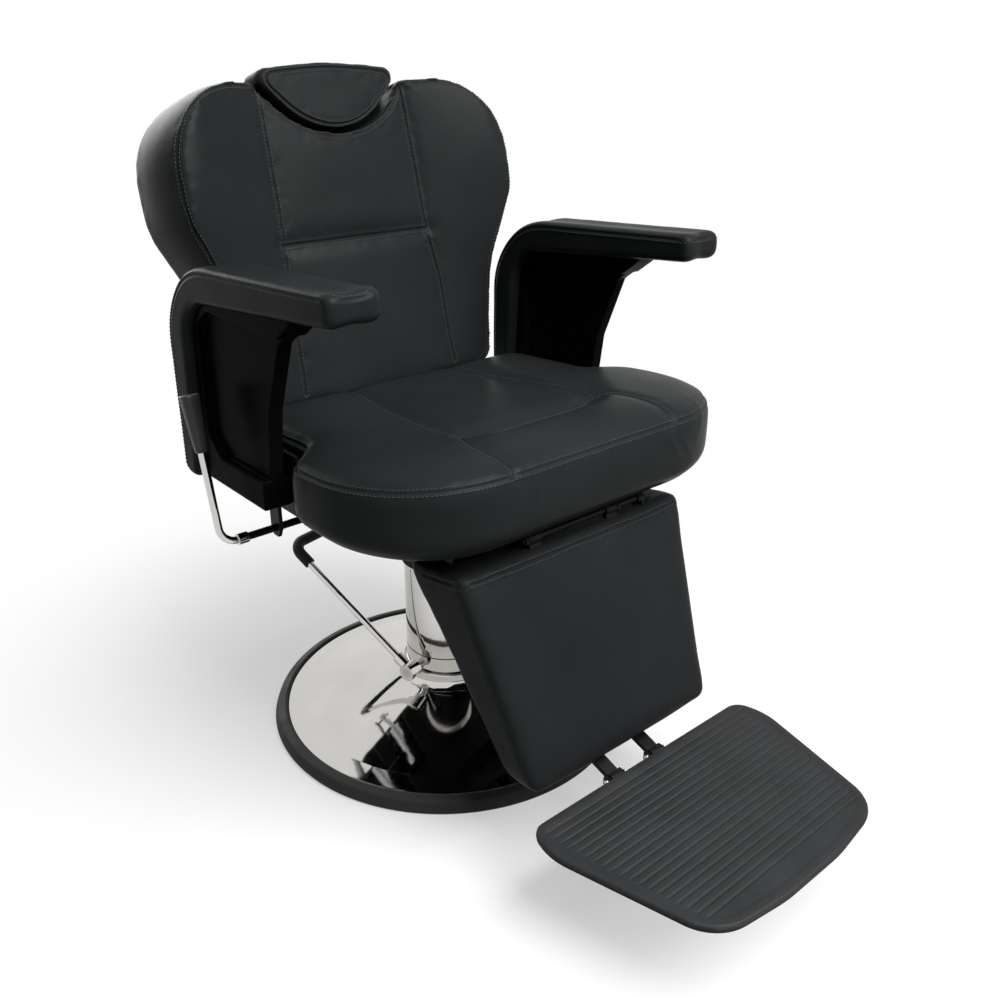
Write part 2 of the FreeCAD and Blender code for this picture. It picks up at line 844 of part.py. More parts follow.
def back_front():
    """The space behind the cushion's face: crowned centre panel, seams and bolsters that come forward."""
    sections = []
    for level, bolster in ((-0.05, "bolster_foot"), (0.5, "1.6 * bolster_foot"), (1.02, "bolster_depth"),
                           (2.1, "bolster_depth")):
        height = level * size("back_cross_seam")
        panel = size("back_panel_half") + (1 - level) * size("back_panel_taper")
        sections.append(face_profile(height, panel, size(bolster)))
    return Part.makeLoft(sections, True)


def face_profile(height, panel, bolster):
    """One level of the back's face, closed behind it at the board."""
    gap = size("seam_half")
    half = size("back_half + face_margin")
    depth = size("cushion_depth")

    def at(x, y):
        return Vector(x, y, height)

    middle = (panel + half) / 2
    edges = [
        Part.LineSegment(at(-half, depth), at(half, depth)),
        Part.LineSegment(at(half, depth), at(half, -bolster)),
        Part.Arc(at(half, -bolster), at(middle, -0.64 * bolster), at(panel + gap, 0)),
        Part.LineSegment(at(panel + gap, 0), at(panel, size("seam_depth"))),
        Part.LineSegment(at(panel, size("seam_depth")), at(panel - gap, 0)),
        Part.Arc(at(panel - gap, 0), at(0, -size("back_crown")), at(gap - panel, 0)),
        Part.LineSegment(at(gap - panel, 0), at(-panel, size("seam_depth"))),
        Part.LineSegment(at(-panel, size("seam_depth")), at(-panel - gap, 0)),
        Part.Arc(at(-panel - gap, 0), at(-middle, -0.64 * bolster), at(-half, -bolster)),
        Part.LineSegment(at(-half, -bolster), at(-half, depth))]
    return Part.Wire([edge.toShape() for edge in edges])


def make_back():
    depth = size("cushion_depth")
    draw = size("back_draw")
    steps = ((-1.2 * size("bolster_depth"), draw), (-0.3 * size("bolster_depth"), draw / 4), (depth / 3, 0),
             (depth, draw / 10))
    sections = [rounded(back_outline(), lambda p, y=y: Vector(p.x, y, p.y), inset) for y, inset in steps]
    cushion = Part.makeLoft(sections, True).common(back_front())
    seam = size("back_cross_seam")
    gap = size("seam_half")
    crown = size("back_crown")
    groove = Part.makePolygon([Vector(0, -3 * crown, seam - 4 * gap), Vector(0, size("seam_depth / 2"), seam),
                               Vector(0, -3 * crown, seam + 4 * gap), Vector(0, -3 * crown, seam - 4 * gap)])
    panel = size("back_panel_half")
    groove = Part.Face(groove).extrude(Vector(2 * panel, 0, 0))
    groove.translate(Vector(-panel, 0, 0))
    slot_half = size("post_width / 2 + guide_wall + fit_gap")
    slot_depth = size("post_thick + 2 * guide_wall")
    slot = Part.makeBox(2 * slot_half, slot_depth, size("scoop_centre - post_foot"),
                        Vector(-slot_half, depth - slot_depth, size("post_foot - post_slack")))
    form(cushion.cut(groove).cut(scoop()).cut(slot).removeSplitter(), "back_cushion", back_frame())

    board_start = depth
    board = back_slab(board_start, size("back_board_thick"), size("back_board_inset"))
    straps = [strap_block(side) for side in (1, -1)]
    form(board.cut(straps), "back_board", back_frame())
    panel_start = board_start + size("back_board_thick")
    panel_thick = size("rear_panel_thick")
    inset = size("rear_panel_inset")
    steps = ((0, inset), (panel_thick / 2, inset), (panel_thick, 3 * inset))
    sections = [rounded(back_outline(), lambda p, y=y: Vector(p.x, panel_start + y, p.y), inset)
                for y, inset in steps]
    form(Part.makeLoft(sections, True), "back_rear_panel", back_frame())


def strap_block(side):
    """The strap of a back hinge, let into the rear of the board."""
    outer = size("hinge_outer")
    width = size("strap_width")
    left = outer - width if side > 0 else -outer
    rear = size("cushion_depth + back_board_thick")
    thick = size("strap_thick")
    corner = Vector(left, rear - thick, -size("strap_drop"))
    return Part.makeBox(width, thick, size("strap_rise + strap_drop"), corner)


def make_back_hinges():
    """Each hinge is a plate with a lever below the pivot and a strap up the board."""
    eye = "hinge_eye"
    trim = "eye_trim"
    tongue = [("pivot_y - hinge_lean", "pivot_z + hinge_rise"), ("pivot_y - eye_back", "pivot_z"),
              (f"pivot_y - {eye} / 2", f"pivot_z - {eye}")]
    lock_y = "pivot_y + lock_arm * sin(lock_sweep / 2)"
    lock_z = "pivot_z - lock_arm * cos(lock_sweep / 2)"
    link_y = "pivot_y + crank_run"
    link_z = "pivot_z - crank_drop"
    arms = {
        "left": [(f"{lock_y} - {eye}", f"{lock_z} - {trim}"), (f"{lock_y} - {trim}", f"{lock_z} - {eye}"),
                 (f"{lock_y} + {eye} - {trim}", f"{lock_z} - {eye} + {trim}"),
                 (f"{lock_y} + {eye}", f"{lock_z} + {trim}")],
        "right": [(f"{link_y} - {eye}", f"{link_z} - {eye} + {trim}"), (link_y, f"{link_z} - {eye}"),
                  (f"{link_y} + {eye}", link_z), (f"{link_y} + {trim}", f"{link_z} + {eye}")]}
    studs = {"left": (lock_y, lock_z, "lock_side - lock_eye_thick"),
             "right": (link_y, link_z, "link_side - stud_proud")}
    for side, arm in arms.items():
        corners = tongue + arm + [("pivot_y + hinge_back", f"pivot_z - {trim}"),
                                  ("pivot_y + hinge_back", "pivot_z + hinge_back")]
        inner = "hinge_outer - hinge_thick"
        start = inner if side == "right" else "-hinge_outer"
        plate = sheared("YZ_Plane", corners, "hinge_thick", start,
                        [("pivot_y", "pivot_z", "pivot_radius + run_gap")])
        y, z, tip = studs[side]
        span = (tip, inner) if side == "right" else (f"-({inner})", f"-({tip})")
        stud = rod("x", "stud_radius", span, y, z)
        strap = doc.addObject("Part::Feature", "Strap")
        strap.Shape = strap_block(1 if side == "right" else -1)
        strap.Placement = back_frame()
        node(joined([plate, stud, strap]), f"back_hinge_{side}")

    bracket = sheared("YZ_Plane", [
        ("rail_rear - bracket_root", "rail_z"), ("rail_rear", "rail_z"),
        (f"pivot_y + {eye}", f"pivot_z - {eye} + {trim}"), (f"pivot_y + {eye}", f"pivot_z + {eye} - {trim}"),
        (f"pivot_y - {eye} + {trim}", f"pivot_z + {eye} - {trim}"),
        ("rail_rear - bracket_root", "rail_z + rail_height")], "hinge_thick", "rail_inner - hinge_thick",
        [("pivot_y", "pivot_z", "pivot_radius")])
    pair(bracket, "back_brackets")
    span = ("hinge_outer - hinge_thick - hinge_lean", "rail_inner")
    shank = rod("x", "pivot_radius", span, "pivot_y", "pivot_z")
    head = rod("x", "pivot_head", ("rail_inner", "rail_inner + hinge_thick"), "pivot_y", "pivot_z")
    pair(joined([shank, head]), "back_pins")


# Headrest


def make_headrest():
    corners = both_sides([
        (size("head_half"), size("head_shoulder"), size("head_shoulder_round"))])
    corners = [(0, size("head_keel"), size("head_keel_round")), corners[0],
               (0, size("head_shoulder + head_rise"), size("head_top_round")), corners[1]]
    thick = size("head_thick")
    middle = (size("head_shoulder") + size("scoop_centre - scoop_radius")) / 2
    steps = ((0, 0.88), (0.03, 0.95), (0.1, 0.985), (0.2, 1), (0.8, 1), (1, 0.96))
    sections = [rounded(scaled(corners, factor, middle), lambda p, run=run: Vector(p.x, run * thick, p.y))
                for run, factor in steps]
    rear = "head_thick"
    board = together([box(("-head_board_half", "head_board_half"), (f"{rear} - head_board_thick", rear),
                          ("head_board_foot", "head_board_top"))])
    doc.recompute()
    pocket = board.Shape.copy()
    form(Part.makeLoft(sections, True, True).cut(pocket), "head_pad", back_frame())
    node(board, "head_board", back_frame())

    post_rear = f"{rear} + post_thick"
    half = "post_width / 2"
    node(together([box((f"-{half}", half), (rear, post_rear), ("post_foot", "head_board_top"))]), "head_post",
         back_frame())
    wall = f"({half} + guide_wall + fit_gap)"
    block = box((f"-{wall}", wall), ("cushion_depth - post_thick - 2 * guide_wall", "cushion_depth"),
                ("guide_foot", "guide_top"))
    slot = box((f"-({half} + fit_gap)", f"{half} + fit_gap"), (f"{rear} - fit_gap", f"{post_rear} + fit_gap"),
               ("guide_foot", "guide_top"))
    node(cut(block, slot), "head_guide", back_frame())


# Leg rest


def make_legrest():
    axis_n = "((calf_y - leg_y) * cos(calf_tilt) - (leg_z - calf_z) * sin(calf_tilt))"
    axis_s = "((calf_y - leg_y) * sin(calf_tilt) + (leg_z - calf_z) * cos(calf_tilt))"
    eye = "leg_eye"
    flat = "leg_eye / 3"
    front = "-(rail_front + cross_depth)"
    ear_at = ("ear_inner", "-(ear_inner + ear_thick)", "lever_ear")
    ears = [sheared("YZ_Plane", [
        (front, f"leg_z - {eye}"), (front, f"leg_z + {eye}"), (f"-leg_y - {flat}", f"leg_z + {eye}"),
        (f"-leg_y - {eye}", f"leg_z + {flat}"), (f"-leg_y - {eye}", f"leg_z - {flat}"),
        (f"-leg_y - {flat}", f"leg_z - {eye}")], "ear_thick", start,
        [("-leg_y", "leg_z", "leg_shaft_radius + run_gap")]) for start in ear_at]
    node(together(ears), "leg_ears")
    shaft_span = ("-(ear_inner + ear_thick + stud_proud)", "lever_ear + ear_thick + fit_gap + crank_thick")
    shaft = node(rod("x", "leg_shaft_radius", shaft_span, "-leg_y", "leg_z"), "leg_shaft")

    span = ("leg_arm_centre - leg_arm_width / 2", "leg_arm_centre + leg_arm_width / 2")
    depth = (f"{axis_n} - leg_arm_thick / 2", f"{axis_n} + leg_arm_thick / 2")
    bar = box(span, depth, ("-leg_arm_length", axis_s))
    knuckle = rod("x", eye, span, axis_n, axis_s)
    bore = rod("x", "leg_shaft_radius", span, axis_n, axis_s)
    arm = cut(joined([bar, knuckle]), bore)
    arms = node(together([arm, other_side(arm)]), "leg_arms", calf_frame())
    plate_front = f"{axis_n} + leg_arm_thick / 2"
    plate_rear = f"{plate_front} + leg_plate_thick"
    plate = together([box(("-leg_plate_half", "leg_plate_half"), (plate_front, plate_rear),
                          ("-leg_plate_foot", "-leg_plate_top"))])
    node(plate, "leg_plate", calf_frame())

    foot_n = "((calf_y - foot_y) * cos(calf_tilt) - (foot_z - calf_z) * sin(calf_tilt))"
    foot_s = "((calf_y - foot_y) * sin(calf_tilt) + (foot_z - calf_z) * cos(calf_tilt))"
    bar_rear = f"{plate_rear} + foot_bar_thick"
    neck = "foot_bar_neck"
    start = "foot_bar_centre - foot_bar_width / 2"
    span = (start, f"{start} + foot_bar_width")
    bar = sheared("YZ_Plane", [
        (plate_rear, "-foot_bar_top"), (plate_rear, "-foot_bar_knee"),
        (f"{foot_n} - {neck}", f"{foot_s} + {neck}"),
        (f"{foot_n} + {neck}", f"{foot_s} - {neck}"), (bar_rear, f"-foot_bar_knee - 2 * {neck}"),
        (bar_rear, "-foot_bar_top")],
        "foot_bar_width", start)
    knuckle = rod("x", "foot_eye", span, foot_n, foot_s)
    bore = rod("x", "foot_pin_radius + run_gap", span, foot_n, foot_s)
    bar = cut(joined([bar, knuckle]), bore)
    bars = node(together([bar, other_side(bar)]), "foot_bars", calf_frame())

    bend_y = "-leg_y + crank_run"
    bend_z = "leg_z - crank_drop"
    crank_face = "lever_ear + ear_thick + fit_gap"
    crank = sheared("YZ_Plane", [
        (f"-leg_y - {eye}", f"leg_z + {flat}"), (f"-leg_y - {flat}", f"leg_z + {eye}"),
        (f"-leg_y + {flat}", f"leg_z + {eye}"), (f"-leg_y + {eye}", f"leg_z + {flat}"),
        ("-leg_y + crank_eye", "leg_z - crank_root"), (bend_y, f"{bend_z} + crank_eye"),
        (f"{bend_y} + crank_eye", bend_z), (bend_y, f"{bend_z} - crank_eye"),
        (f"{bend_y} - crank_eye", f"{bend_z} - crank_eye / 2"), (f"-leg_y + {flat}", "leg_z - crank_belly"),
        (f"-leg_y - {eye}", "leg_z - crank_belly / 2")], "crank_thick", crank_face,
        [("-leg_y", "leg_z", "leg_shaft_radius")])
    span = (f"{crank_face} + crank_thick", "link_side + link_thick + stud_proud")
    stud = rod("x", "stud_radius", span, bend_y, bend_z)
    crank = node(joined([crank, stud]), "leg_crank")

    doc.recompute()
    frame = calf_frame()
    top_half = size("calf_top_half")
    foot_half = size("calf_foot_half")
    length = size("calf_length")
    draw = size("calf_draw")
    sections = []
    ends = ((0, draw), (0.4 * draw, 0.4 * draw), (1.8 * draw, 0))
    steps = [(length - run, inset) for run, inset in ends]
    steps += [(length * share, 0) for share in (0.8, 0.65, 0.5, 0.35, 0.2)]
    steps += reversed(ends)
    for run, inset in steps:
        share = run / length
        half = top_half + (foot_half - top_half) * share
        thick = size("calf_top_thick") + size("calf_foot_thick - calf_top_thick") * share
        slope = math.radians(size("calf_top_slope") + size("calf_foot_slope - calf_top_slope") * share)
        front_round = size("calf_front_round")
        rear_round = size("calf_rear_round")
        corners = [(0, -size("calf_crown"), size("calf_crown_round")), (half, 0, front_round),
                   (half, thick, rear_round), (-half, thick, rear_round), (-half, 0, front_round)]

        def lift(p, run=run, slope=slope):
            return Vector(p.x, p.y * math.cos(slope), p.y * math.sin(slope) - run)

        sections.append(rounded(corners, lift, inset))
    pad = Part.makeLoft(sections, True)
    for item in (shaft, crank, plate, arms, bars):
        pad = pad.cut(moved(item.Shape, frame.inverse()))
    form(pad, "calf_pad", frame)


def moved(shape, by):
    """A copy of a shape, carried by a placement."""
    copy = shape.copy()
    copy.Placement = by.multiply(copy.Placement)
    return copy


def make_link():
    """The bar from the back's lever to the leg rest's crank, parallel to the line between the two pivots."""
    front = ("-leg_y + crank_run", "leg_z - crank_drop")
    rear = ("pivot_y + crank_run", "pivot_z - crank_drop")
    start = f"{front[0]} - link_end"
    end = f"{rear[0]} + link_end"
    corners = [(start, f"{front[1]} - link_half"), (end, f"{rear[1]} - link_half"),
               (end, f"{rear[1]} + link_half"), (start, f"{front[1]} + link_half")]
    bar = sheared("YZ_Plane", corners, "link_thick", "link_side", [
        (front[0], front[1], "stud_radius + fit_gap"), (rear[0], rear[1], "stud_radius + run_gap")])
    node(bar, "link_rod")


# Footplate


def make_footplate():
    under = "foot_top - foot_thick"
    plate = sheared("XY_Plane", [
        ("foot_rear_half - foot_taper", "-foot_rear"), ("-(foot_rear_half - foot_taper)", "-foot_rear"),
        ("-foot_rear_half", "-foot_wide_at"), ("-foot_front_half", "-(foot_front - foot_bow)"),
        ("-foot_front_half / 3", "-foot_front"), ("foot_front_half / 3", "-foot_front"),
        ("foot_front_half", "-(foot_front - foot_bow)"), ("foot_rear_half", "-foot_wide_at")],
        "foot_thick", under)
    corner = size("foot_front - foot_bow")
    round_edges(plate, "foot_front_round", lambda edge: edge.BoundBox.ZLength > 1
                and abs(edge.BoundBox.YMin + corner) < 0.01)
    rear = size("foot_rear")
    round_edges(plate, "foot_rear_round", lambda edge: edge.BoundBox.ZLength > 1
                and abs(edge.BoundBox.YMin + rear) < 0.01)
    wide = size("foot_wide_at")
    round_edges(plate, "foot_side_round", lambda edge: edge.BoundBox.ZLength > 1
                and abs(edge.BoundBox.YMin + wide) < 0.01)
    front = size("foot_front")
    round_edges(plate, "foot_bow_round", lambda edge: edge.BoundBox.ZLength > 1
                and abs(edge.BoundBox.YMin + front) < 0.01)
    grooves = []
    for i in range(int(size("groove_count"))):
        share = f"{i} / (groove_count - 1)"
        half = f"groove_first_half - (groove_first_half - groove_last_half) * {share}"
        middle = f"-groove_first - (groove_last - groove_first) * {share}"
        depth = (f"{middle} - groove_width / 2", f"{middle} + groove_width / 2")
        grooves.append(box((f"-({half})", half), depth,
                           ("foot_top - groove_depth", "foot_top + groove_depth")))
    node(cut(plate, together(grooves)), "footplate")

    brow = "foot_z + foot_eye - foot_bar_neck"
    lug_front = "-foot_rear - lug_reach"
    lugs = []
    pins = []
    for side in (1, -1):
        inner = f"{side} * foot_bar_centre - foot_bar_width / 2"
        outer = f"{side} * foot_bar_centre + foot_bar_width / 2"
        for start in (f"{inner} - fit_gap - foot_lug_thick", f"{outer} + fit_gap"):
            lugs.append(sheared("YZ_Plane", [
                ("-foot_y + foot_eye", "foot_z - foot_eye"), ("-foot_y + foot_eye", brow),
                ("-foot_rear", brow),
                ("-foot_rear", under), (lug_front, under), (lug_front, "foot_z"),
                ("-foot_y - foot_eye", "foot_z - foot_eye")],
                "foot_lug_thick", start, [("-foot_y", "foot_z", "foot_pin_radius")]))
        proud = "(fit_gap + foot_lug_thick + foot_bar_neck)"
        span = (f"{inner} - {proud}", f"{outer} + {proud}")
        pins.append(rod("x", "foot_pin_radius", span, "-foot_y", "foot_z"))
    node(together(lugs), "foot_lugs")
    node(together(pins), "foot_pins")


# Recline lever and lock


def make_recline():
    rail_top = "rail_z + rail_height"
    stem_side = "(arm_inner + arm_width + grip_top_radius + stem_clear)"
    side = f"{stem_side} - stem_bend - collar_width"
    node(rod("x", "rod_radius", (f"-({side})", "-rod_end"), "rod_y", "rod_z"), "recline_rod")
    tab_half = "tab_width / 2"
    tops = {"lever_tab": ("-(tab_inner + tab_thick)", f"{rail_top} - bracket_thick"),
            "rail_tab": ("-(rail_inner + tab_thick + stud_proud)", "rail_z")}
    for label, (start, top) in tops.items():
        tab = sheared("YZ_Plane", [
            (f"rod_y - {tab_half} / 2", f"rod_z - {tab_half}"),
            (f"rod_y + {tab_half} / 2", f"rod_z - {tab_half}"),
            (f"rod_y + {tab_half}", "rod_z"), (f"rod_y + {tab_half}", top), (f"rod_y - {tab_half}", top),
            (f"rod_y - {tab_half}", "rod_z")], "tab_thick", start,
            [("rod_y", "rod_z", "rod_radius + run_gap")])
        node(tab, label)

    corner = Vector(-size(stem_side), size("rod_y"), size("rod_z"))
    lean = math.radians(size("stem_lean"))
    up = Vector(0, math.sin(lean), math.cos(lean))
    start = Vector(-size(side), size("rod_y"), size("rod_z"))
    stem = bent_bar([start, corner, corner + up * size("stem_length + grip_length - stem_short")],
                    [size("stem_bend")], size("stem_radius"))
    form(stem, "lever_stem")
    span = (f"-({side} + collar_width)", f"-({side} - collar_width)")
    collar = rod("x", "collar_radius", span, "rod_y", "rod_z")
    node(cut(collar, rod("x", "rod_radius", span, "rod_y", "rod_z")), "lever_collar")
    grip = Part.makeCone(size("grip_foot_radius"), size("grip_top_radius"), size("grip_length"),
                         corner + up * size("stem_length"), up)
    form(grip.cut(stem), "lever_grip")

    front = "lock_front"
    rear = "lock_front + lock_length"
    lock_z = "pivot_z - lock_arm * (1 + cos(lock_sweep / 2)) / 2"
    eye_y = "pivot_y + lock_arm * sin(lock_sweep / 2)"
    barrel = rod("y", "lock_radius", (front, rear), "-lock_side", lock_z)
    hollow = (f"{front} + lock_wall", f"{rear} - lock_wall")
    bore = rod("y", "lock_radius - lock_wall", hollow, "-lock_side", lock_z)
    mouth = rod("y", "lock_rod_radius + run_gap", (f"{rear} - lock_wall", rear), "-lock_side", lock_z)
    node(cut(barrel, together([bore, mouth])), "lock_cylinder")
    node(box(("-(lock_side + lock_radius)", "-(riser_inner + riser_thick)"), (f"{front} - lock_bracket", front),
             (f"{lock_z} - lock_radius", "rail_z - fit_gap")), "lock_bracket")
    half = "lock_eye_half"
    stroke = "2 * lock_arm * sin(lock_sweep / 2)"
    span = (f"{front} + 2 * lock_wall + {stroke}", f"{eye_y} - {half}")
    bar = rod("y", "lock_rod_radius", span, "-lock_side", lock_z)
    eye = box(("-lock_side - lock_eye_thick / 2", "-lock_side + lock_eye_thick / 2"),
              (f"{eye_y} - {half}", f"{eye_y} + {half}"),
              (f"{lock_z} - {half} - lock_wall", f"{lock_z} + {half} + lock_wall"))
    rise = "lock_arm * (1 - cos(lock_sweep / 2)) / 2"
    slack = "(stud_radius + lock_slack)"
    slot = box(("-lock_side - lock_eye_thick / 2", "-lock_side + lock_eye_thick / 2"),
               (f"{eye_y} - {slack}", f"{eye_y} + {slack}"),
               (f"{lock_z} - {rise} - {slack}", f"{lock_z} + {rise} + {slack}"))
    node(cut(joined([bar, eye]), slot), "lock_rod")


def check_and_write():
    """Every object must be sound before its file is written."""
    doc.recompute()
    for item in doc.Objects:
        if {"Invalid", "Error"} & set(item.State):
            raise ValueError(f"{item.Label} failed: {item.State}")
    os.makedirs("parts", exist_ok=True)
    for item in nodes:
        shape = item.Shape
        if shape.isNull() or not shape.isValid() or not shape.Solids:
            raise ValueError(f"{item.Label} has no sound shape")
    for item in nodes:
        item.Shape.exportStep(f"parts/{item.Label}.step")
        print(item.Label, len(item.Shape.Solids), round(item.Shape.Volume / 1000, 1))


make_base()
make_pump()
make_pump_lever()
make_seat(make_frame())
make_arms()
make_back()
make_back_hinges()
make_headrest()
make_legrest()
make_link()
make_footplate()
make_recline()
check_and_write()
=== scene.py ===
import json
import math

import bmesh
import bpy
import numpy as np
from mathutils import Matrix, Vector, noise
from mathutils.bvhtree import BVHTree
from mathutils.kdtree import KDTree

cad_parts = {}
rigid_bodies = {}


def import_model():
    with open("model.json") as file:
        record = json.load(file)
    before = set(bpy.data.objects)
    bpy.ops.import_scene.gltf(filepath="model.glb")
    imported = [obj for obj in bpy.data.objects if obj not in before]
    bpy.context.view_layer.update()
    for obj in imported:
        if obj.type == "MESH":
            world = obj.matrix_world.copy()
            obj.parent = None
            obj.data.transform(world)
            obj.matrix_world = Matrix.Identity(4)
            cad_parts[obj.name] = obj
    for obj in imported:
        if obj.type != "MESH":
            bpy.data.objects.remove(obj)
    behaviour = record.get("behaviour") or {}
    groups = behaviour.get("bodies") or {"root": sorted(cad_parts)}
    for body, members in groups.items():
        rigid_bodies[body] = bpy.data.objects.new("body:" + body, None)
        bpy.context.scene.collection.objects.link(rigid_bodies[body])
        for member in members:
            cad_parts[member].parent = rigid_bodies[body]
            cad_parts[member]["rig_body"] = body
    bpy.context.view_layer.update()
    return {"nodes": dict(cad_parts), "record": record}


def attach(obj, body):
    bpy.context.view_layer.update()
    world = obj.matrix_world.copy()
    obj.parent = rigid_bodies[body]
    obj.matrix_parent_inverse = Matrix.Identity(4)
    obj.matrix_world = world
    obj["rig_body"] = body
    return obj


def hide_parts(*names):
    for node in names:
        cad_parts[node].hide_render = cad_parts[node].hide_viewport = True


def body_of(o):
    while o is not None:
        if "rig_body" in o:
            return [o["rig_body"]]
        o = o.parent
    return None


# Barber chair, in metres. +Z is up and the sitter looks along -Y.

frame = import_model()
scene = bpy.context.scene

# Frames of the tilted parts: X across, Y into the part, Z up along its front face
BACK = Matrix.Translation((0, 0.159, 0.568)) @ Matrix.Rotation(math.radians(-14.26), 4, "X")
CALF = Matrix.Translation((0, -0.317, 0.461)) @ Matrix.Rotation(math.radians(-21.6), 4, "X")


# Points and lines


def rounded(corners, inset=0.0, steps=10):
    """Points round a closed outline of (a, b, radius) corners, drawn in by inset, each corner an arc."""
    spots = [Vector(corner[:2]) for corner in corners]
    points = []
    for i, corner in enumerate(corners):
        before = (spots[i] - spots[i - 1]).normalized()
        after = (spots[(i + 1) % len(spots)] - spots[i]).normalized()
        turn = math.atan2(before.x * after.y - before.y * after.x, before.dot(after))
        inward = Vector((-before.y - after.y, before.x + after.x))
        point = spots[i] + inward * (inset / (1 + before.dot(after)))
        radius = corner[2] - math.copysign(inset, turn)
        centre = point + (after - before).normalized() * (radius / math.cos(turn / 2))
        arm = point - before * (radius * math.tan(abs(turn) / 2)) - centre
        for k in range(steps + 1):
            points.append(centre + Matrix.Rotation(turn * k / steps, 2) @ arm)
    return points


def both_sides(corners):
    """The outline that mirrors a right half."""
    return corners + [(-a, b, radius) for a, b, radius in reversed(corners)]


def spaced(points, pitch, closed=False):
    """Points at an even pitch along a line, and whether it closes."""
    line = np.array([tuple(p) for p in points], float)
    if closed:
        line = np.vstack([line, line[:1]])
    run = np.concatenate([[0], np.cumsum(np.linalg.norm(np.diff(line, axis=0), axis=1))])
    count = max(2, int(round(run[-1] / pitch)) + (0 if closed else 1))
    stops = np.linspace(0, run[-1], count, endpoint=not closed)
    return np.column_stack([np.interp(stops, run, line[:, k]) for k in range(line.shape[1])])


def smooth_line(points, pitch=0.004):
    """A smooth open line through a few points."""
    line = np.array([tuple(p) for p in points], float)
    before = np.vstack([2 * line[0] - line[1], line, 2 * line[-1] - line[-2]])
    parts = []
    for i in range(1, len(before) - 2):
        a, b, c, d = before[i - 1:i + 3]
        for t in np.linspace(0, 1, 12, endpoint=False):
            parts.append(0.5 * (2 * b + (c - a) * t + (2 * a - 5 * b + 4 * c - d) * t ** 2
                                + (3 * b - a - 3 * c + d) * t ** 3))
    parts.append(line[-1])
    return spaced(parts, pitch)


def steady(line, rounds=14):
    """Evens out the small steps of a line, which stays closed where it was."""
    line = np.array(line, float)
    closed = np.allclose(line[0], line[-1])
    for _ in range(rounds):
        if closed:
            ring = line[:-1]
            ring = (np.roll(ring, 1, axis=0) + 2 * ring + np.roll(ring, -1, axis=0)) / 4
            line = np.vstack([ring, ring[:1]])
        else:
            line[1:-1] = (line[:-2] + 2 * line[1:-1] + line[2:]) / 4
    return line


# Meshes


def coords(mesh):
    values = np.empty(len(mesh.vertices) * 3, np.float32)
    mesh.vertices.foreach_get("co", values)
    return values.reshape(-1, 3).astype(float)


def set_coords(mesh, points):
    mesh.vertices.foreach_set("co", points.astype(np.float32).ravel())
    mesh.update()


def normals(mesh):
    values = np.empty(len(mesh.vertices) * 3, np.float32)
    mesh.vertex_normals.foreach_get("vector", values)
    return values.reshape(-1, 3).astype(float)


def piece(name, verts, faces, material, body, smooth=True):
    """A mesh piece that rides a body."""
    mesh = bpy.data.meshes.new(name)
    mesh.from_pydata([tuple(v) for v in verts], [], [tuple(f) for f in faces])
    mesh.validate()
    return settle(name, mesh, material, body, smooth)


def settle(name, mesh, material, body, smooth=True):
    mesh.name = name
    mesh.materials.clear()
    mesh.materials.append(material)
    mesh.shade_smooth() if smooth else mesh.shade_flat()
    item = bpy.data.objects.new(name, mesh)
    scene.collection.objects.link(item)
    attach(item, body)
    return item


def with_modifier(mesh, kind, **values):
    """A copy of a mesh with one modifier worked into it."""
    item = bpy.data.objects.new("work", mesh)
    scene.collection.objects.link(item)
    modifier = item.modifiers.new("work", kind)
    for name, value in values.items():
        setattr(modifier, name, value)
    bpy.context.view_layer.update()
    result = bpy.data.meshes.new_from_object(item.evaluated_get(bpy.context.evaluated_depsgraph_get()))
    bpy.data.objects.remove(item)
    return result


def tree_of(mesh):
    mesh.calc_loop_triangles()
    return BVHTree.FromPolygons([v.co for v in mesh.vertices], [t.vertices for t in mesh.loop_triangles])


def on_surface(tree, points):
    """The nearest surface points and normals."""
    found = [tree.find_nearest(Vector(p)) for p in points]
    return np.array([tuple(f[0]) for f in found]), np.array([tuple(f[1]) for f in found])


def nearest(points, targets):
    """For each point, its distance to the nearest target."""
    tree = KDTree(len(targets))
    for i, target in enumerate(targets):
        tree.insert(target, i)
    tree.balance()
    return np.array([tree.find(p)[2] for p in points])


def lathe(name, profile, material, body, steps=192):
    """A turned piece from a closed loop of (radius, height) points."""
    ring = np.array([tuple(p) for p in profile])
    angles = np.linspace(0, 2 * math.pi, steps, endpoint=False)
    radius, height = ring[:, 0], ring[:, 1]
    verts = np.concatenate([np.column_stack([radius * math.cos(a), radius * math.sin(a), height]) for a in angles])
    count = len(ring)
    faces = [(i * count + j, (i + 1) % steps * count + j, (i + 1) % steps * count + (j + 1) % count,
              i * count + (j + 1) % count) for i in range(steps) for j in range(count)]
    return piece(name, verts, faces, material, body)


# Cushions


def front_line(tree, matrix, outline, start=-0.3):
    """The points where an outline, seen along a part's own depth, meets its front."""
    ahead = matrix.to_3x3() @ Vector((0, 1, 0))
    hits = [tree.ray_cast(matrix @ Vector((p[0], start, p[1])), ahead)[0] for p in outline]
    return np.array([tuple(hit) for hit in hits if hit])


def neighbours(mesh):
    pairs = np.empty(len(mesh.edges) * 2, np.int32)
    mesh.edges.foreach_get("vertices", pairs)
    return pairs.reshape(-1, 2)


def relax(mesh, weight, rounds):
    """Smooths a mesh where the weight is high."""
    pairs = neighbours(mesh)
    points = coords(mesh)
    count = np.bincount(pairs.ravel(), minlength=len(points))[:, None]
    for _ in range(rounds):
        total = np.zeros_like(points)
        for axis in range(3):
            total[:, axis] = np.bincount(pairs[:, 0], points[pairs[:, 1], axis], len(points))
            total[:, axis] += np.bincount(pairs[:, 1], points[pairs[:, 0], axis], len(points))
        points += weight[:, None] * 0.5 * (total / count - points)
    set_coords(mesh, points)


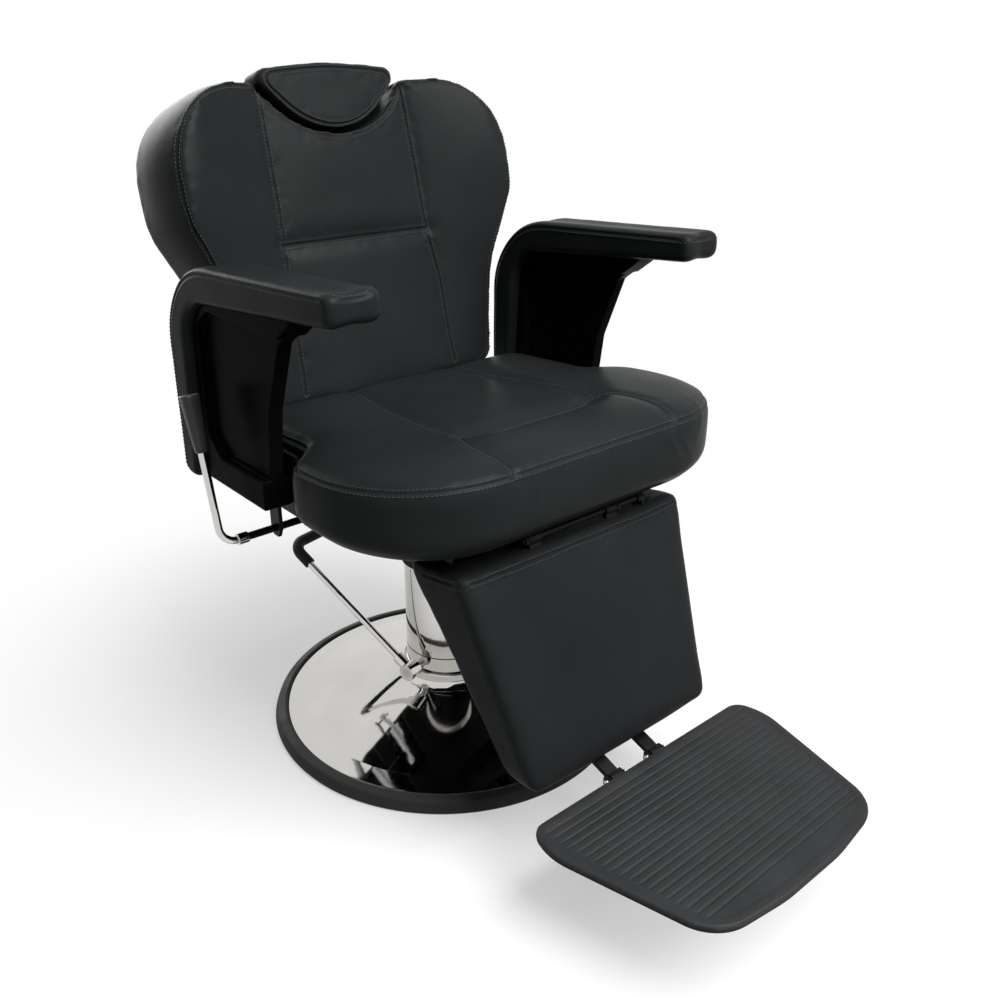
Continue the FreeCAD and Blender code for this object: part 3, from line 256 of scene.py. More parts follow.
def refine(mesh, lines, reach):
    """Divides the faces along the seams, so that a narrow seam has points enough."""
    near = nearest(coords(mesh), lines) < reach
    work = bmesh.new()
    work.from_mesh(mesh)
    work.verts.ensure_lookup_table()
    edges = [edge for edge in work.edges if near[edge.verts[0].index] and near[edge.verts[1].index]]
    bmesh.ops.subdivide_edges(work, edges=edges, cuts=1, use_grid_fill=True)
    work.to_mesh(mesh)
    work.free()


def inflate(mesh, held, pressure, cap, frames=12):
    """Swells a cushion as cloth under pressure, with some points held, and caps how far it goes."""
    item = bpy.data.objects.new("swell", mesh)
    scene.collection.objects.link(item)
    group = item.vertex_groups.new(name="held")
    group.add([int(i) for i in np.flatnonzero(held)], 1.0, "REPLACE")
    cloth = item.modifiers.new("Cloth", "CLOTH")
    cloth.settings.use_pressure = True
    cloth.settings.uniform_pressure_force = pressure
    cloth.settings.effector_weights.gravity = 0
    cloth.settings.vertex_group_mass = "held"
    cloth.settings.tension_stiffness = 25
    cloth.settings.compression_stiffness = 25
    cloth.settings.bending_stiffness = 4
    cloth.collision_settings.use_collision = False
    cloth.point_cache.frame_end = frames
    for number in range(1, frames + 1):
        scene.frame_set(number)
    swollen = coords(item.evaluated_get(bpy.context.evaluated_depsgraph_get()).data)
    bpy.data.objects.remove(item)
    scene.frame_set(1)
    rest = coords(mesh)
    move = swollen - rest
    length = np.linalg.norm(move, axis=1)
    move *= (cap * np.tanh(length / cap) / np.maximum(length, 1e-9))[:, None]
    set_coords(mesh, rest + move)


def uneven(points, scale, height):
    """How far soft filling lifts or drops each point, in broad patches."""
    return height * np.array([noise.noise(Vector(p) * scale) for p in points])


def joined(nodes):
    """One mesh of CAD solids that lie against each other."""
    work = bmesh.new()
    for node in nodes:
        work.from_mesh(frame["nodes"][node].data)
    mesh = bpy.data.meshes.new("joined")
    work.to_mesh(mesh)
    work.free()
    return mesh


# The fold of a seam, the low ridges beside it, and the slack leather that puckers next to them
FOLD_WIDTH = 0.0018
RIDGE_SHARE = 0.3
RIDGE_AWAY = 0.0046
RIDGE_WIDTH = 0.0022
PUCKER_AWAY = 0.011
PUCKER_WIDTH = 0.008
SEAM_REACH = 0.011


def cushion(nodes, voxel, seams, smooth=10, shrink=0.002, pressure=3, cap=0.008, hold=None,
            shape=None, ease=4, dents=None, pucker=0.0006):
    """A padded piece from its CAD solids: rounded, swollen between its seams, and sewn in along them.

    A seam is a line, how far it pulls the cover in, how wide that dip is, and the depth of its fold."""
    mesh = with_modifier(joined(nodes), "REMESH", mode="VOXEL", voxel_size=voxel)
    mesh = with_modifier(mesh, "SMOOTH", factor=0.5, iterations=smooth)
    if shape:
        set_coords(mesh, shape(coords(mesh)))
    rows = {name: (steady(row[0]), *row[1:]) for name, row in seams(tree_of(mesh)).items()}
    lines = [spaced(row[0], 0.003) for row in rows.values()]
    set_coords(mesh, coords(mesh) - shrink * normals(mesh))
    if hold:
        points = coords(mesh)
        away = nearest(points, np.vstack(lines))
        inflate(mesh, np.array([hold(Vector(p)) for p in points]) | (away < 0.9 * voxel), pressure, cap)
        relax(mesh, 1 - np.exp(-(away / 0.012) ** 2), ease)
    mesh = with_modifier(mesh, "SUBSURF", levels=1, render_levels=1)
    refine(mesh, np.vstack(lines), SEAM_REACH)
    points = coords(mesh)
    lift = uneven(points, 14, 0.0007)
    if dents:
        lift = lift + dents(points)
    sink = np.zeros(len(points))
    ridge = np.zeros(len(points))
    for line, (_, pull, spread, fold) in zip(lines, rows.values()):
        away = nearest(points, spaced(line, 0.0015))
        dip = pull * np.exp(-(away / spread) ** 2) + fold * np.exp(-(away / FOLD_WIDTH) ** 2)
        sink = np.maximum(sink, dip)
        ridge = np.maximum(ridge, RIDGE_SHARE * fold * np.exp(-((away - RIDGE_AWAY) / RIDGE_WIDTH) ** 2))
        lift += uneven(points, 62, pucker) * np.exp(-((away - PUCKER_AWAY) / PUCKER_WIDTH) ** 2)
    set_coords(mesh, points + (lift + ridge - sink)[:, None] * normals(mesh))
    item = settle(nodes[0] + "_cover", mesh, LEATHER, frame["nodes"][nodes[0]]["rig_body"])
    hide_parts(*nodes)
    return item, {name: row[0] for name, row in rows.items()}


def stitches(name, cover, rows, pitch=0.0060, length=0.0042, radius=0.0006):
    """Rows of sewn stitches on a cover: each row is a line, and how far beside it the stitches run."""
    tree = tree_of(cover.data)
    rings = ((-0.5 * length, 0.35), (-0.32 * length, 1.0), (0.32 * length, 1.0), (0.5 * length, 0.35))
    sides = 6
    turns = np.arange(sides) * 2 * math.pi / sides
    verts, faces = [], []
    for line, aside in rows:
        line = spaced(line, pitch)
        ups = steady(on_surface(tree, line)[1], 3)
        along = np.gradient(line, axis=0)
        along /= np.linalg.norm(along, axis=1)[:, None]
        across = np.cross(ups, along)
        across /= np.linalg.norm(across, axis=1)[:, None]
        spots, ups = on_surface(tree, steady(line + aside * across, 3))
        for spot, up, ahead in zip(spots, ups, along):
            side = np.cross(up, ahead)
            side /= max(np.linalg.norm(side), 1e-9)
            base = len(verts)
            for run, share in rings:
                centre = spot + ahead * run + up * (radius * 0.35 * share)
                for turn in turns:
                    verts.append(centre + radius * share * (math.cos(turn) * side + math.sin(turn) * up))
            for ring in range(len(rings) - 1):
                for k in range(sides):
                    a, b = base + ring * sides + k, base + ring * sides + (k + 1) % sides
                    faces.append((a, b, b + sides, a + sides))
            faces.append([base + k for k in reversed(range(sides))])
            faces.append([base + (len(rings) - 1) * sides + k for k in range(sides)])
    return piece(name, verts, faces, THREAD, body_of(cover)[0])


def ring_line(line):
    """A closed line that meets its own start."""
    return np.vstack([line, line[:1]])


# Materials


def surface(name, dark, light, rough, metallic=0.0, specular=0.5, patch=9.0, bumps=()):
    """A finish whose colour and roughness drift in soft patches, with layers of fine relief.

    A bump is its kind, scale, strength and height."""
    material = bpy.data.materials.new(name)
    material.use_nodes = True
    nodes, links = material.node_tree.nodes, material.node_tree.links
    shader = nodes["Principled BSDF"]
    shader.inputs["Metallic"].default_value = metallic
    shader.inputs["Specular IOR Level"].default_value = specular
    place = nodes.new("ShaderNodeTexCoord")
    drift = nodes.new("ShaderNodeTexNoise")
    drift.inputs["Scale"].default_value = patch
    drift.inputs["Detail"].default_value = 6
    links.new(place.outputs["Object"], drift.inputs["Vector"])
    shade = nodes.new("ShaderNodeMix")
    shade.data_type = "RGBA"
    shade.inputs["A"].default_value = (*dark, 1)
    shade.inputs["B"].default_value = (*light, 1)
    links.new(drift.outputs["Fac"], shade.inputs["Factor"])
    links.new(shade.outputs["Result"], shader.inputs["Base Color"])
    span = nodes.new("ShaderNodeMapRange")
    span.inputs["From Min"].default_value = 0.3
    span.inputs["From Max"].default_value = 0.7
    span.inputs["To Min"].default_value = rough[0]
    span.inputs["To Max"].default_value = rough[1]
    links.new(drift.outputs["Fac"], span.inputs["Value"])
    links.new(span.outputs["Result"], shader.inputs["Roughness"])
    before = None
    for kind, scale, strength, distance in bumps:
        texture = nodes.new({"cells": "ShaderNodeTexVoronoi", "noise": "ShaderNodeTexNoise"}[kind])
        texture.inputs["Scale"].default_value = scale
        links.new(place.outputs["Object"], texture.inputs["Vector"])
        bump = nodes.new("ShaderNodeBump")
        bump.inputs["Strength"].default_value = strength
        bump.inputs["Distance"].default_value = distance
        links.new(texture.outputs["Distance" if kind == "cells" else "Fac"], bump.inputs["Height"])
        if before:
            links.new(before.outputs["Normal"], bump.inputs["Normal"])
        before = bump
    if before:
        links.new(before.outputs["Normal"], shader.inputs["Normal"])
    return material


LEATHER = surface("leather", (0.0050, 0.0056, 0.0058), (0.0083, 0.0092, 0.0095), (0.31, 0.41),
                  specular=0.024, patch=7,
                  bumps=(("noise", 30, 0.07, 0.003), ("cells", 1100, 0.10, 0.0003),
                         ("noise", 420, 0.07, 0.0005)))
THREAD = surface("thread", (0.013, 0.0140, 0.0145), (0.026, 0.0275, 0.0285), (0.5, 0.6),
                 specular=0.10, patch=300)
CHROME = surface("chrome", (0.52, 0.51, 0.485), (0.64, 0.63, 0.605), (0.03, 0.07), metallic=1.0, patch=14,
                 bumps=(("noise", 26, 0.06, 0.002),))
RUBBER = surface("rubber", (0.010, 0.010, 0.0096), (0.019, 0.019, 0.0183), (0.5, 0.7),
                 specular=0.10, patch=25, bumps=(("noise", 700, 0.25, 0.0005),))
PANEL = surface("panel_plastic", (0.0010, 0.0010, 0.0011), (0.0022, 0.0022, 0.0024), (0.22, 0.32),
                specular=0.006, patch=10, bumps=(("noise", 240, 0.05, 0.0006),))
FOOT = surface("foot_plastic", (0.0085, 0.0088, 0.0092), (0.0140, 0.0145, 0.0150), (0.42, 0.56),
               specular=0.07, patch=18,
               bumps=(("cells", 650, 0.35, 0.0006), ("noise", 300, 0.15, 0.0006)))
PAINT = surface("black_paint", (0.0020, 0.0020, 0.0022), (0.0046, 0.0046, 0.0050), (0.30, 0.44),
                specular=0.07, patch=20, bumps=(("noise", 500, 0.1, 0.0004),))
STEEL = surface("steel", (0.42, 0.42, 0.43), (0.56, 0.56, 0.57), (0.22, 0.36), metallic=1.0, patch=60)
BRASS = surface("brass", (0.60, 0.45, 0.20), (0.74, 0.57, 0.28), (0.25, 0.4), metallic=1.0, patch=40)
WOOD = surface("plywood", (0.0048, 0.0045, 0.0042), (0.0090, 0.0084, 0.0079), (0.55, 0.7),
               specular=0.08, patch=30)
GRIP = surface("grip_plastic", (0.006, 0.006, 0.0065), (0.012, 0.012, 0.0125), (0.34, 0.48),
               specular=0.25, patch=30, bumps=(("noise", 600, 0.15, 0.0004),))
FINISHES = {"rubber": RUBBER, "chrome": CHROME, "steel": STEEL, "black_steel": PAINT, "brass": BRASS,
            "wood": WOOD, "leather": LEATHER, "panel_plastic": PANEL, "foot_plastic": FOOT, "grip": GRIP}
for part in frame["record"]["subparts"]:
    data = frame["nodes"][part["node"]].data
    data.materials.clear()
    data.materials.append(FINISHES[part["material_slot"]])


# Seat: edge seam, T seams, and the centre panel with its front roll

SEAT_SEAM = 0.605
SEAT_FRONT = -0.358
SEAT_SLOPE = math.tan(math.radians(3.5))
SEAT_OUTLINE = both_sides([(0.353, -0.358, 0.185), (0.353, -0.112, 0.050), (0.290, -0.052, 0.040),
                           (0.290, 0.148, 0.025)])

# Seams on the seat's top, seen from above, on its right half
PANEL_SEAM = [(0.100, 0.135), (0.106, 0.078), (0.114, 0.017), (0.125, -0.050), (0.138, -0.130),
              (0.137, -0.180), (0.127, -0.207)]
ROLL_SEAM = [(0.127, -0.207), (0.144, -0.220), (0.157, -0.250), (0.162, -0.294), (0.159, -0.330),
             (0.157, -0.351)]
CROSS_SEAM = [(-0.127, -0.207), (-0.098, -0.220), (-0.050, -0.226), (0, -0.227), (0.050, -0.226),
              (0.098, -0.220), (0.127, -0.207)]

# Slack folds in the front boxing: across, height, lean and how far each stands out
SEAT_FOLDS = [(0.150, 0.575, 0.6, 0.0012), (0.185, 0.560, 0.9, 0.0010), (0.225, 0.585, -0.4, 0.0008),
              (-0.150, 0.578, -0.7, 0.0016), (-0.120, 0.566, -0.3, 0.0012)]


def seat_height(y):
    return SEAT_SEAM - SEAT_SLOPE * (y - SEAT_FRONT)


def seat_line(tree, points):
    """A seam on the seat's top through points seen from above."""
    line = smooth_line([(x, y, 0) for x, y in points])
    hits = [tree.ray_cast(Vector((x, y, 0.9)), Vector((0, 0, -1)))[0] for x, y, _ in line]
    return np.array([tuple(hit) for hit in hits if hit])


def seat_seams(tree):
    edge = [(p.x, p.y, seat_height(p.y)) for p in rounded(SEAT_OUTLINE, 0.004)]
    edge = on_surface(tree, spaced(edge, 0.004, True))[0]
    rows = {"edge": (ring_line(edge), 0.0012, 0.007, 0.0022)}
    for side, name in ((1, "right"), (-1, "left")):
        panel = [(side * x, y) for x, y in PANEL_SEAM]
        roll = [(side * x, y) for x, y in ROLL_SEAM]
        rows["panel_" + name] = (seat_line(tree, panel), 0.0045, 0.016, 0.0017)
        rows["roll_" + name] = (seat_line(tree, roll), 0.0026, 0.012, 0.0017)
    rows["cross"] = (seat_line(tree, CROSS_SEAM), 0.0080, 0.022, 0.0020)
    return rows


def seat_shape(points):
    """The lower edge tucks under, and the centre panel lies lower than the rolls round it."""
    edge = np.array([(p.x, p.y, 0) for p in rounded(SEAT_OUTLINE)])
    inside = nearest(points * (1, 1, 0), spaced(edge, 0.004, True))
    points = points.copy()
    low = np.clip((0.545 - points[:, 2]) / 0.055, 0, 1)
    points[:, 2] += 0.016 * low * np.exp(-(inside / 0.040) ** 2)
    across = np.clip((0.175 - np.abs(points[:, 0])) / 0.075, 0, 1)
    along = np.clip((points[:, 1] + 0.255) / 0.060, 0, 1) * np.clip((0.110 - points[:, 1]) / 0.120, 0, 1)
    sunk = across ** 2 * (3 - 2 * across) * along ** 2 * (3 - 2 * along)
    points[:, 2] -= 0.012 * sunk * (points[:, 2] > 0.56)
    return points


def seat_creases(points):
    """Slack folds in the front boxing below the T seams."""
    lift = np.zeros(len(points))
    for x, z, lean, height in SEAT_FOLDS:
        across = (points[:, 0] - x) + lean * (points[:, 2] - z)
        along = (points[:, 2] - z) - 0.3 * lean * (points[:, 0] - x)
        lift += height * np.exp(-(across / 0.009) ** 2 - (along / 0.028) ** 2) * (points[:, 1] < -0.2)
    return lift


def make_seat():
    cover, lines = cushion(("seat_cushion",), 0.006, seat_seams, smooth=6, cap=0.008,
                           shape=seat_shape, dents=seat_creases, hold=lambda p: p.z < 0.515)
    rows = [(lines["edge"], 0.0052), (lines["edge"], -0.0052)]
    rows += [(lines[name], 0.0046) for name in ("roll_right", "panel_right", "cross")]
    rows += [(lines[name], -0.0046) for name in ("roll_left", "panel_left")]
    stitches("seat_stitches", cover, rows)


# Back: side seams, cross seam, the seam round its face, and the rim of the hollow for the headrest

BACK_OUTLINE = both_sides([(0.240, -0.002, 0.030), (0.269, 0.185, 0.120), (0.321, 0.300, 0.120),
                           (0.321, 0.503, 0.138)])
BACK_SIDE_SEAM = [(0.156, 0.014), (0.153, 0.060), (0.152, 0.109), (0.151, 0.165), (0.146, 0.211),
                  (0.141, 0.252), (0.139, 0.300), (0.138, 0.360), (0.136, 0.420), (0.134, 0.486)]
SCOOP_HEIGHT = 0.580
SCOOP_RADIUS = 0.160


def back_seams(tree):
    rows = {}
    for side, name in ((1, "right"), (-1, "left")):
        line = smooth_line([(side * x, up, 0) for x, up in BACK_SIDE_SEAM])
        rows["side_" + name] = (front_line(tree, BACK, line), 0.0022, 0.012, 0.0022)
    line = [(x, 0.253) for x in np.linspace(-0.141, 0.141, 60)]
    rows["cross"] = (front_line(tree, BACK, line), 0.0050, 0.018, 0.0022)
    rim = [(SCOOP_RADIUS * 1.04 * math.sin(a), SCOOP_HEIGHT - SCOOP_RADIUS * 1.04 * math.cos(a))
           for a in np.linspace(-0.93, 0.93, 90)]
    rows["rim"] = (front_line(tree, BACK, rim), 0.0006, 0.006, 0.0016)
    edge = [p for p in rounded(BACK_OUTLINE, 0.009) if abs(p.x) > 0.145 or p.y < 0.3]
    middle = max(range(len(edge)), key=lambda i: (edge[i] - edge[i - 1]).length)
    edge = edge[middle:] + edge[:middle]
    rows["edge"] = (front_line(tree, BACK, spaced(edge, 0.004)), 0.0010, 0.007, 0.0022)
    rear = [BACK @ Vector((p.x, 0.104, p.y)) for p in rounded(BACK_OUTLINE)]
    rows["rear"] = (ring_line(on_surface(tree, spaced(rear, 0.004, True))[0]), 0.0004, 0.006, 0.0014)
    return rows


def make_back():
    inward = BACK.inverted()
    cover, lines = cushion(("back_cushion", "back_board", "back_rear_panel"), 0.006, back_seams, smooth=5,
                           shrink=0.0005, pressure=2, cap=0.006, ease=8,
                           hold=lambda p: (inward @ p).y > 0.060)
    rows = [(lines["cross"], -0.0046), (lines["edge"], 0.0052), (lines["edge"], -0.0058),
            (lines["rim"], 0.0046)]
    for name in ("side_right", "side_left"):
        rows += [(lines[name], 0.0044), (lines[name], -0.0044)]
    stitches("back_stitches", cover, rows)


HEAD_OUTLINE = [(0, 0.371, 0.130), (0.143, 0.517, 0.016), (0, 0.532, 0.800), (-0.143, 0.517, 0.016)]
HEAD_GROWTH = 1.03
HEAD_FOOT = 0.40


def make_headrest():
    inward = BACK.inverted()

    def seams(tree):
        outline = [(p.x, p.y) for p in rounded(HEAD_OUTLINE, 0.006)]
        line = front_line(tree, BACK, spaced(outline, 0.003, True))
        return {"edge": (ring_line(line), 0.0010, 0.006, 0.0020)}

    def shape(points):
        """The pad swells a little past its board, most at the top and the sides."""
        local = np.array([tuple(inward @ Vector(p)) for p in points])
        local[:, 0] *= HEAD_GROWTH
        local[:, 2] = HEAD_FOOT + (local[:, 2] - HEAD_FOOT) * HEAD_GROWTH
        return np.array([tuple(BACK @ Vector(p)) for p in local])

    cover, lines = cushion(("head_pad",), 0.0036, seams, smooth=3, shrink=0.0005, pressure=2, cap=0.005,
                           shape=shape, hold=lambda p: (inward @ p).y > 0.055)
    rows = [(lines["edge"], 0.0045), (lines["edge"], -0.0045)]
    stitches("head_stitches", cover, rows, pitch=0.0055, length=0.0036)


def make_calf():
    inward = CALF.inverted()

    def seams(tree):
        front = front_line(tree, CALF, [(x, -0.013) for x in np.linspace(-0.215, 0.215, 110)])
        ends = []
        for side in (-1, 1):
            back = [CALF @ Vector((side * 0.3, deep, -0.013 + 0.23 * deep))
                    for deep in np.linspace(0.012, 0.085, 20)]
            aim = CALF.to_3x3() @ Vector((-side, 0, 0))
            hits = [tree.ray_cast(point, aim)[0] for point in back]
            ends.append(np.array([tuple(hit) for hit in hits if hit]))
        line = np.vstack([ends[0][::-1], front, ends[1]])
        return {"top": (line, 0.0006, 0.006, 0.0018)}

    cover, lines = cushion(("calf_pad",), 0.005, seams, smooth=2, shrink=0.0005, pressure=1.2, cap=0.003,
                           hold=lambda p: (inward @ p).y > 0.030)
    stitches("calf_stitches", cover, [(lines["top"], 0.0045), (lines["top"], -0.0045)])


ARM_OUTLINE = [(-0.250, 0.804, 0.015), (0.147, 0.768, 0.062), (0.165, 0.488, 0.012), (0.207, 0.488, 0.020),
               (0.207, 0.819, 0.140), (-0.250, 0.846, 0.015)]


def make_arms():
    for side, name in ((-1, "left"), (1, "right")):
        def seams(tree, side=side):
            steps = 10
            first, last = 3 * (steps + 1) + steps // 2, 6 * (steps + 1) - steps // 2
            path = rounded(ARM_OUTLINE, 0.0085, steps)[first:last]
            path = spaced([(p.x, p.y) for p in path], 0.004)
            sides = []
            for x, aim in ((side * 0.6, -side), (side * 0.1, side)):
                hits = [tree.ray_cast(Vector((x, y, z)), Vector((aim, 0, 0)))[0] for y, z in path]
                sides.append(np.array([tuple(hit) for hit in hits if hit]))
            front = [tree.ray_cast(Vector((side * x, -0.5, 0.8365)), Vector((0, 1, 0)))[0]
                     for x in np.linspace(0.350, 0.289, 16)]
            front = np.array([tuple(hit) for hit in front if hit])
            return {"top": (np.vstack([sides[0], front, sides[1][::-1]]), 0.0003, 0.006, 0.0012)}

        cover, lines = cushion(("arm_pad_" + name,), 0.0035, seams, smooth=4, shrink=-0.0006,
                               pucker=0.0001)
        stitches(f"arm_stitches_{name}", cover, [(lines["top"], 0.0040)])


# Turned chrome and rubber, and crisp hard parts


def turned(node, corners, material, steps=4):
    """A turned piece that stands for a CAD node, from (radius, height, rounding) corners in millimetres."""
    loop = rounded([(r / 1000, z / 1000, fillet / 1000) for r, z, fillet in corners], 0.0, steps)
    points = []
    for i, point in enumerate(loop):
        run = loop[(i + 1) % len(loop)] - point
        stops = [0.0]
        if run.length > 0.006:
            inner = np.linspace(0.0015, run.length - 0.0015, max(2, int(run.length / 0.012)))
            stops += [stop / run.length for stop in inner]
        points += [point + run * stop for stop in stops]
    item = lathe(node + "_turned", points, material, frame["nodes"][node]["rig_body"])
    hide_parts(node)
    return item


def make_turned():
    turned("floor_ring", [(262, 0, 1), (262, 10, 1), (276, 10, 1), (276, 18, 1), (291, 18, 0.5),
                          (291, 24.5, 1.2), (296, 26, 2), (309, 23, 6), (315, 6, 5), (311, 0, 1.5)],
           RUBBER)
    turned("base_dome", [(288.2, 18, 0.4), (290.7, 18, 0.4), (290.7, 23, 1.6), (257, 29, 5), (80, 80, 16),
                         (80, 104, 2.2), (77.5, 104, 0.8), (77.5, 77.5, 4), (257, 26.5, 2),
                         (288.2, 20.5, 0.8)],
           CHROME)
    turned("column_shroud", [(71.5, 133, 0.6), (73.5, 133, 0.9), (73.5, 299, 2), (79, 299, 1.2),
                             (79, 302, 1.2), (30.05, 302, 0.4), (30.05, 299, 0.4), (71.5, 299, 1)],
           CHROME)


def crisp(node, width, material):
    """A hard part with its CAD shape and softened edges."""
    mesh = with_modifier(frame["nodes"][node].data.copy(), "WELD", merge_threshold=0.00002)
    mesh = with_modifier(mesh, "DECIMATE", decimate_type="DISSOLVE", angle_limit=math.radians(1))
    mesh = with_modifier(mesh, "BEVEL", width=width, segments=3, limit_method="ANGLE",
                         angle_limit=math.radians(28), use_clamp_overlap=True)
    mesh.shade_smooth()
    mesh = with_modifier(mesh, "WEIGHTED_NORMAL", keep_sharp=False)
    item = settle(node + "_crisp", mesh, material, frame["nodes"][node]["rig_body"])
    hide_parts(node)
    return item


def make_hard_parts():
    for name in ("side_panel_left", "side_panel_right"):
        crisp(name, 0.0028, PANEL)
    for name in ("lever_tab", "foot_lugs", "mount_plate", "risers", "leg_ears", "leg_arms", "foot_bars"):
        crisp(name, 0.0009, PAINT)


# Footplate: ribbed top, soft rim and a double lip

FOOT_OUTLINE = [(0.224, -0.465, 0.028), (-0.224, -0.465, 0.028), (-0.238, -0.515, 0.100),
                (-0.178, -0.745, 0.070), (-0.0593, -0.761, 0.300), (0.0593, -0.761, 0.300),
                (0.178, -0.745, 0.070), (0.238, -0.515, 0.100)]
FOOT_TOP = 0.142
FOOT_MIDDLE = (0, -0.61)
FOOT_EDGE = 0.005
RIM_WIDTH = 0.012
RIM_RISE = 0.0011
GROOVE_HALF = 0.0018
GROOVE_DEPTH = 0.0014
GROOVE_STEPS = (0.0040, 0.0018, 0.0013, 0.0007, 0, -0.0007, -0.0013, -0.0018, -0.0040)
# The rim below the top: how far in and how far down each ring of points lies
LIP = [(0.0, 0.0065), (0.0005, 0.0073), (0.0022, 0.0078), (0.0024, 0.0085), (0.0008, 0.0091), (0.0008, 0.0105),
       (0.0018, 0.0116), (0.0034, 0.012)]
GROOVES = [(-0.485 - 0.232 * i / 18, 0.216 - 0.050 * i / 18) for i in range(19)]


def make_footplate():
    edge = spaced([(p.x, p.y) for p in rounded(FOOT_OUTLINE, 0.0, 24)], 0.001, True)
    right = edge[edge[:, 0] >= 0]
    order = np.argsort(right[:, 1])
    rear, front = edge[:, 1].max(), edge[:, 1].min()
    rows = [rear - 0.0001 - 0.014 * (k / 10) ** 2 for k in range(11)]
    for y, _ in GROOVES:
        rows += [y + step for step in GROOVE_STEPS]
    rows += [front + 0.0001 + 0.034 * (k / 24) ** 2 for k in reversed(range(25))]
    rows = sorted(rows, reverse=True)
    shares = np.concatenate([-1 + 0.09 * np.linspace(0, 1, 16) ** 1.6, np.linspace(-0.91, 0.91, 60)[1:-1],
                             1 - 0.09 * np.linspace(1, 0, 16) ** 1.6])
    halves = np.interp(rows, right[order, 1], right[order, 0])
    verts = [(half * share, y, FOOT_TOP) for y, half in zip(rows, halves) for share in shares]
    verts = np.array(verts)
    inside = nearest(verts * (1, 1, 0), np.column_stack([edge, np.zeros(len(edge))]))
    verts[:, 2] -= FOOT_EDGE - np.sqrt(np.maximum(FOOT_EDGE ** 2 - np.maximum(FOOT_EDGE - inside, 0) ** 2, 0))
    verts[:, 2] -= RIM_RISE * np.clip((inside - RIM_WIDTH) / 0.004, 0, 1)
    for y, half in GROOVES:
        along = np.clip((half - np.abs(verts[:, 0])) / 0.006, 0, 1)
        across = np.clip(1 - np.abs(verts[:, 1] - y) / GROOVE_HALF, 0, 1)
        verts[:, 2] -= GROOVE_DEPTH * np.sqrt(along) * np.sin(across * math.pi / 2)
    wide, deep = len(shares), len(rows)
    faces = [(j * wide + i, (j + 1) * wide + i, (j + 1) * wide + i + 1, j * wide + i + 1)
             for j in range(deep - 1) for i in range(wide - 1)]
    loop = list(range(wide)) + [j * wide + wide - 1 for j in range(1, deep)]
    loop += [(deep - 1) * wide + i for i in reversed(range(wide - 1))]
    loop += [j * wide for j in reversed(range(1, deep - 1))]
    rim = verts[loop]
    ahead = np.roll(rim, -1, axis=0) - np.roll(rim, 1, axis=0)
    inward = np.column_stack([ahead[:, 1], -ahead[:, 0]])
    inward /= np.maximum(np.linalg.norm(inward, axis=1), 1e-9)[:, None]
    towards = np.sum(inward * (np.array(FOOT_MIDDLE) - rim[:, :2]), axis=1)
    inward *= np.sign(towards)[:, None]
    verts = list(map(tuple, verts))
    before = loop
    count = len(loop)
    for inset, drop in LIP:
        base = len(verts)
        verts += [(x + nx * inset, y + ny * inset, FOOT_TOP - drop) for (x, y, _), (nx, ny) in zip(rim, inward)]
        now = list(range(base, base + count))
        faces += [(before[k], before[(k + 1) % count], now[(k + 1) % count], now[k]) for k in range(count)]
        before = now
    faces.append(before)
    body = frame["nodes"]["footplate"]["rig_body"]
    item = piece("footplate_ribbed", verts, faces, FOOT, body)
    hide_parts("footplate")


# Grip of the recline lever
# Rings up the grip: distance along the lever, and half-width
GRIP_RINGS = [(0.1420, 0.0062), (0.1422, 0.0078), (0.1432, 0.0089), (0.150, 0.0096), (0.170, 0.0108),
              (0.195, 0.0123), (0.215, 0.0134), (0.2255, 0.0139), (0.2272, 0.0137), (0.2280, 0.0130),
              (0.2276, 0.0112), (0.2268, 0.0060)]


def make_grip():
    lean = math.radians(13.3)
    up = Vector((0, math.sin(lean), math.cos(lean)))
    ahead = Vector((0, math.cos(lean), -math.sin(lean)))
    corner = Vector((-0.378, 0.060, 0.420))
    sides = 40
    verts, faces = [], []
    for run, radius in GRIP_RINGS:
        for k in range(sides):
            turn = 2 * math.pi * k / sides
            c, s = math.cos(turn), math.sin(turn)
            reach = radius / (abs(c) ** 3 + abs(s) ** 3) ** (1 / 3)
            flat = Vector((c * reach, 0, 0)) + ahead * (s * reach * 0.92)
            verts.append(corner + up * run + flat)
    for ring in range(len(GRIP_RINGS) - 1):
        for k in range(sides):
            a, b = ring * sides + k, ring * sides + (k + 1) % sides
            faces.append((a, b, b + sides, a + sides))
    faces.append(list(reversed(range(sides))))
    faces.append([(len(GRIP_RINGS) - 1) * sides + k for k in range(sides)])
    item = piece("lever_grip_moulded", verts, faces, GRIP, frame["nodes"]["lever_grip"]["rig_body"])
    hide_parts("lever_grip")


make_seat()
make_back()
make_headrest()
make_calf()
make_arms()
make_turned()
make_hard_parts()
make_footplate()
make_grip()


# Stage: pale floor, soft light and the photograph's camera


def seen_directly(nodes, links):
    """One for rays from the camera, a mirror or glass."""
    path = nodes.new("ShaderNodeLightPath")
    total = path.outputs["Is Camera Ray"]
    for kind in ("Is Glossy Ray", "Is Transmission Ray"):
        either = nodes.new("ShaderNodeMath")
        either.operation = "MAXIMUM"
        links.new(total, either.inputs[0])
        links.new(path.outputs[kind], either.inputs[1])
        total = either.outputs["Value"]
    return total


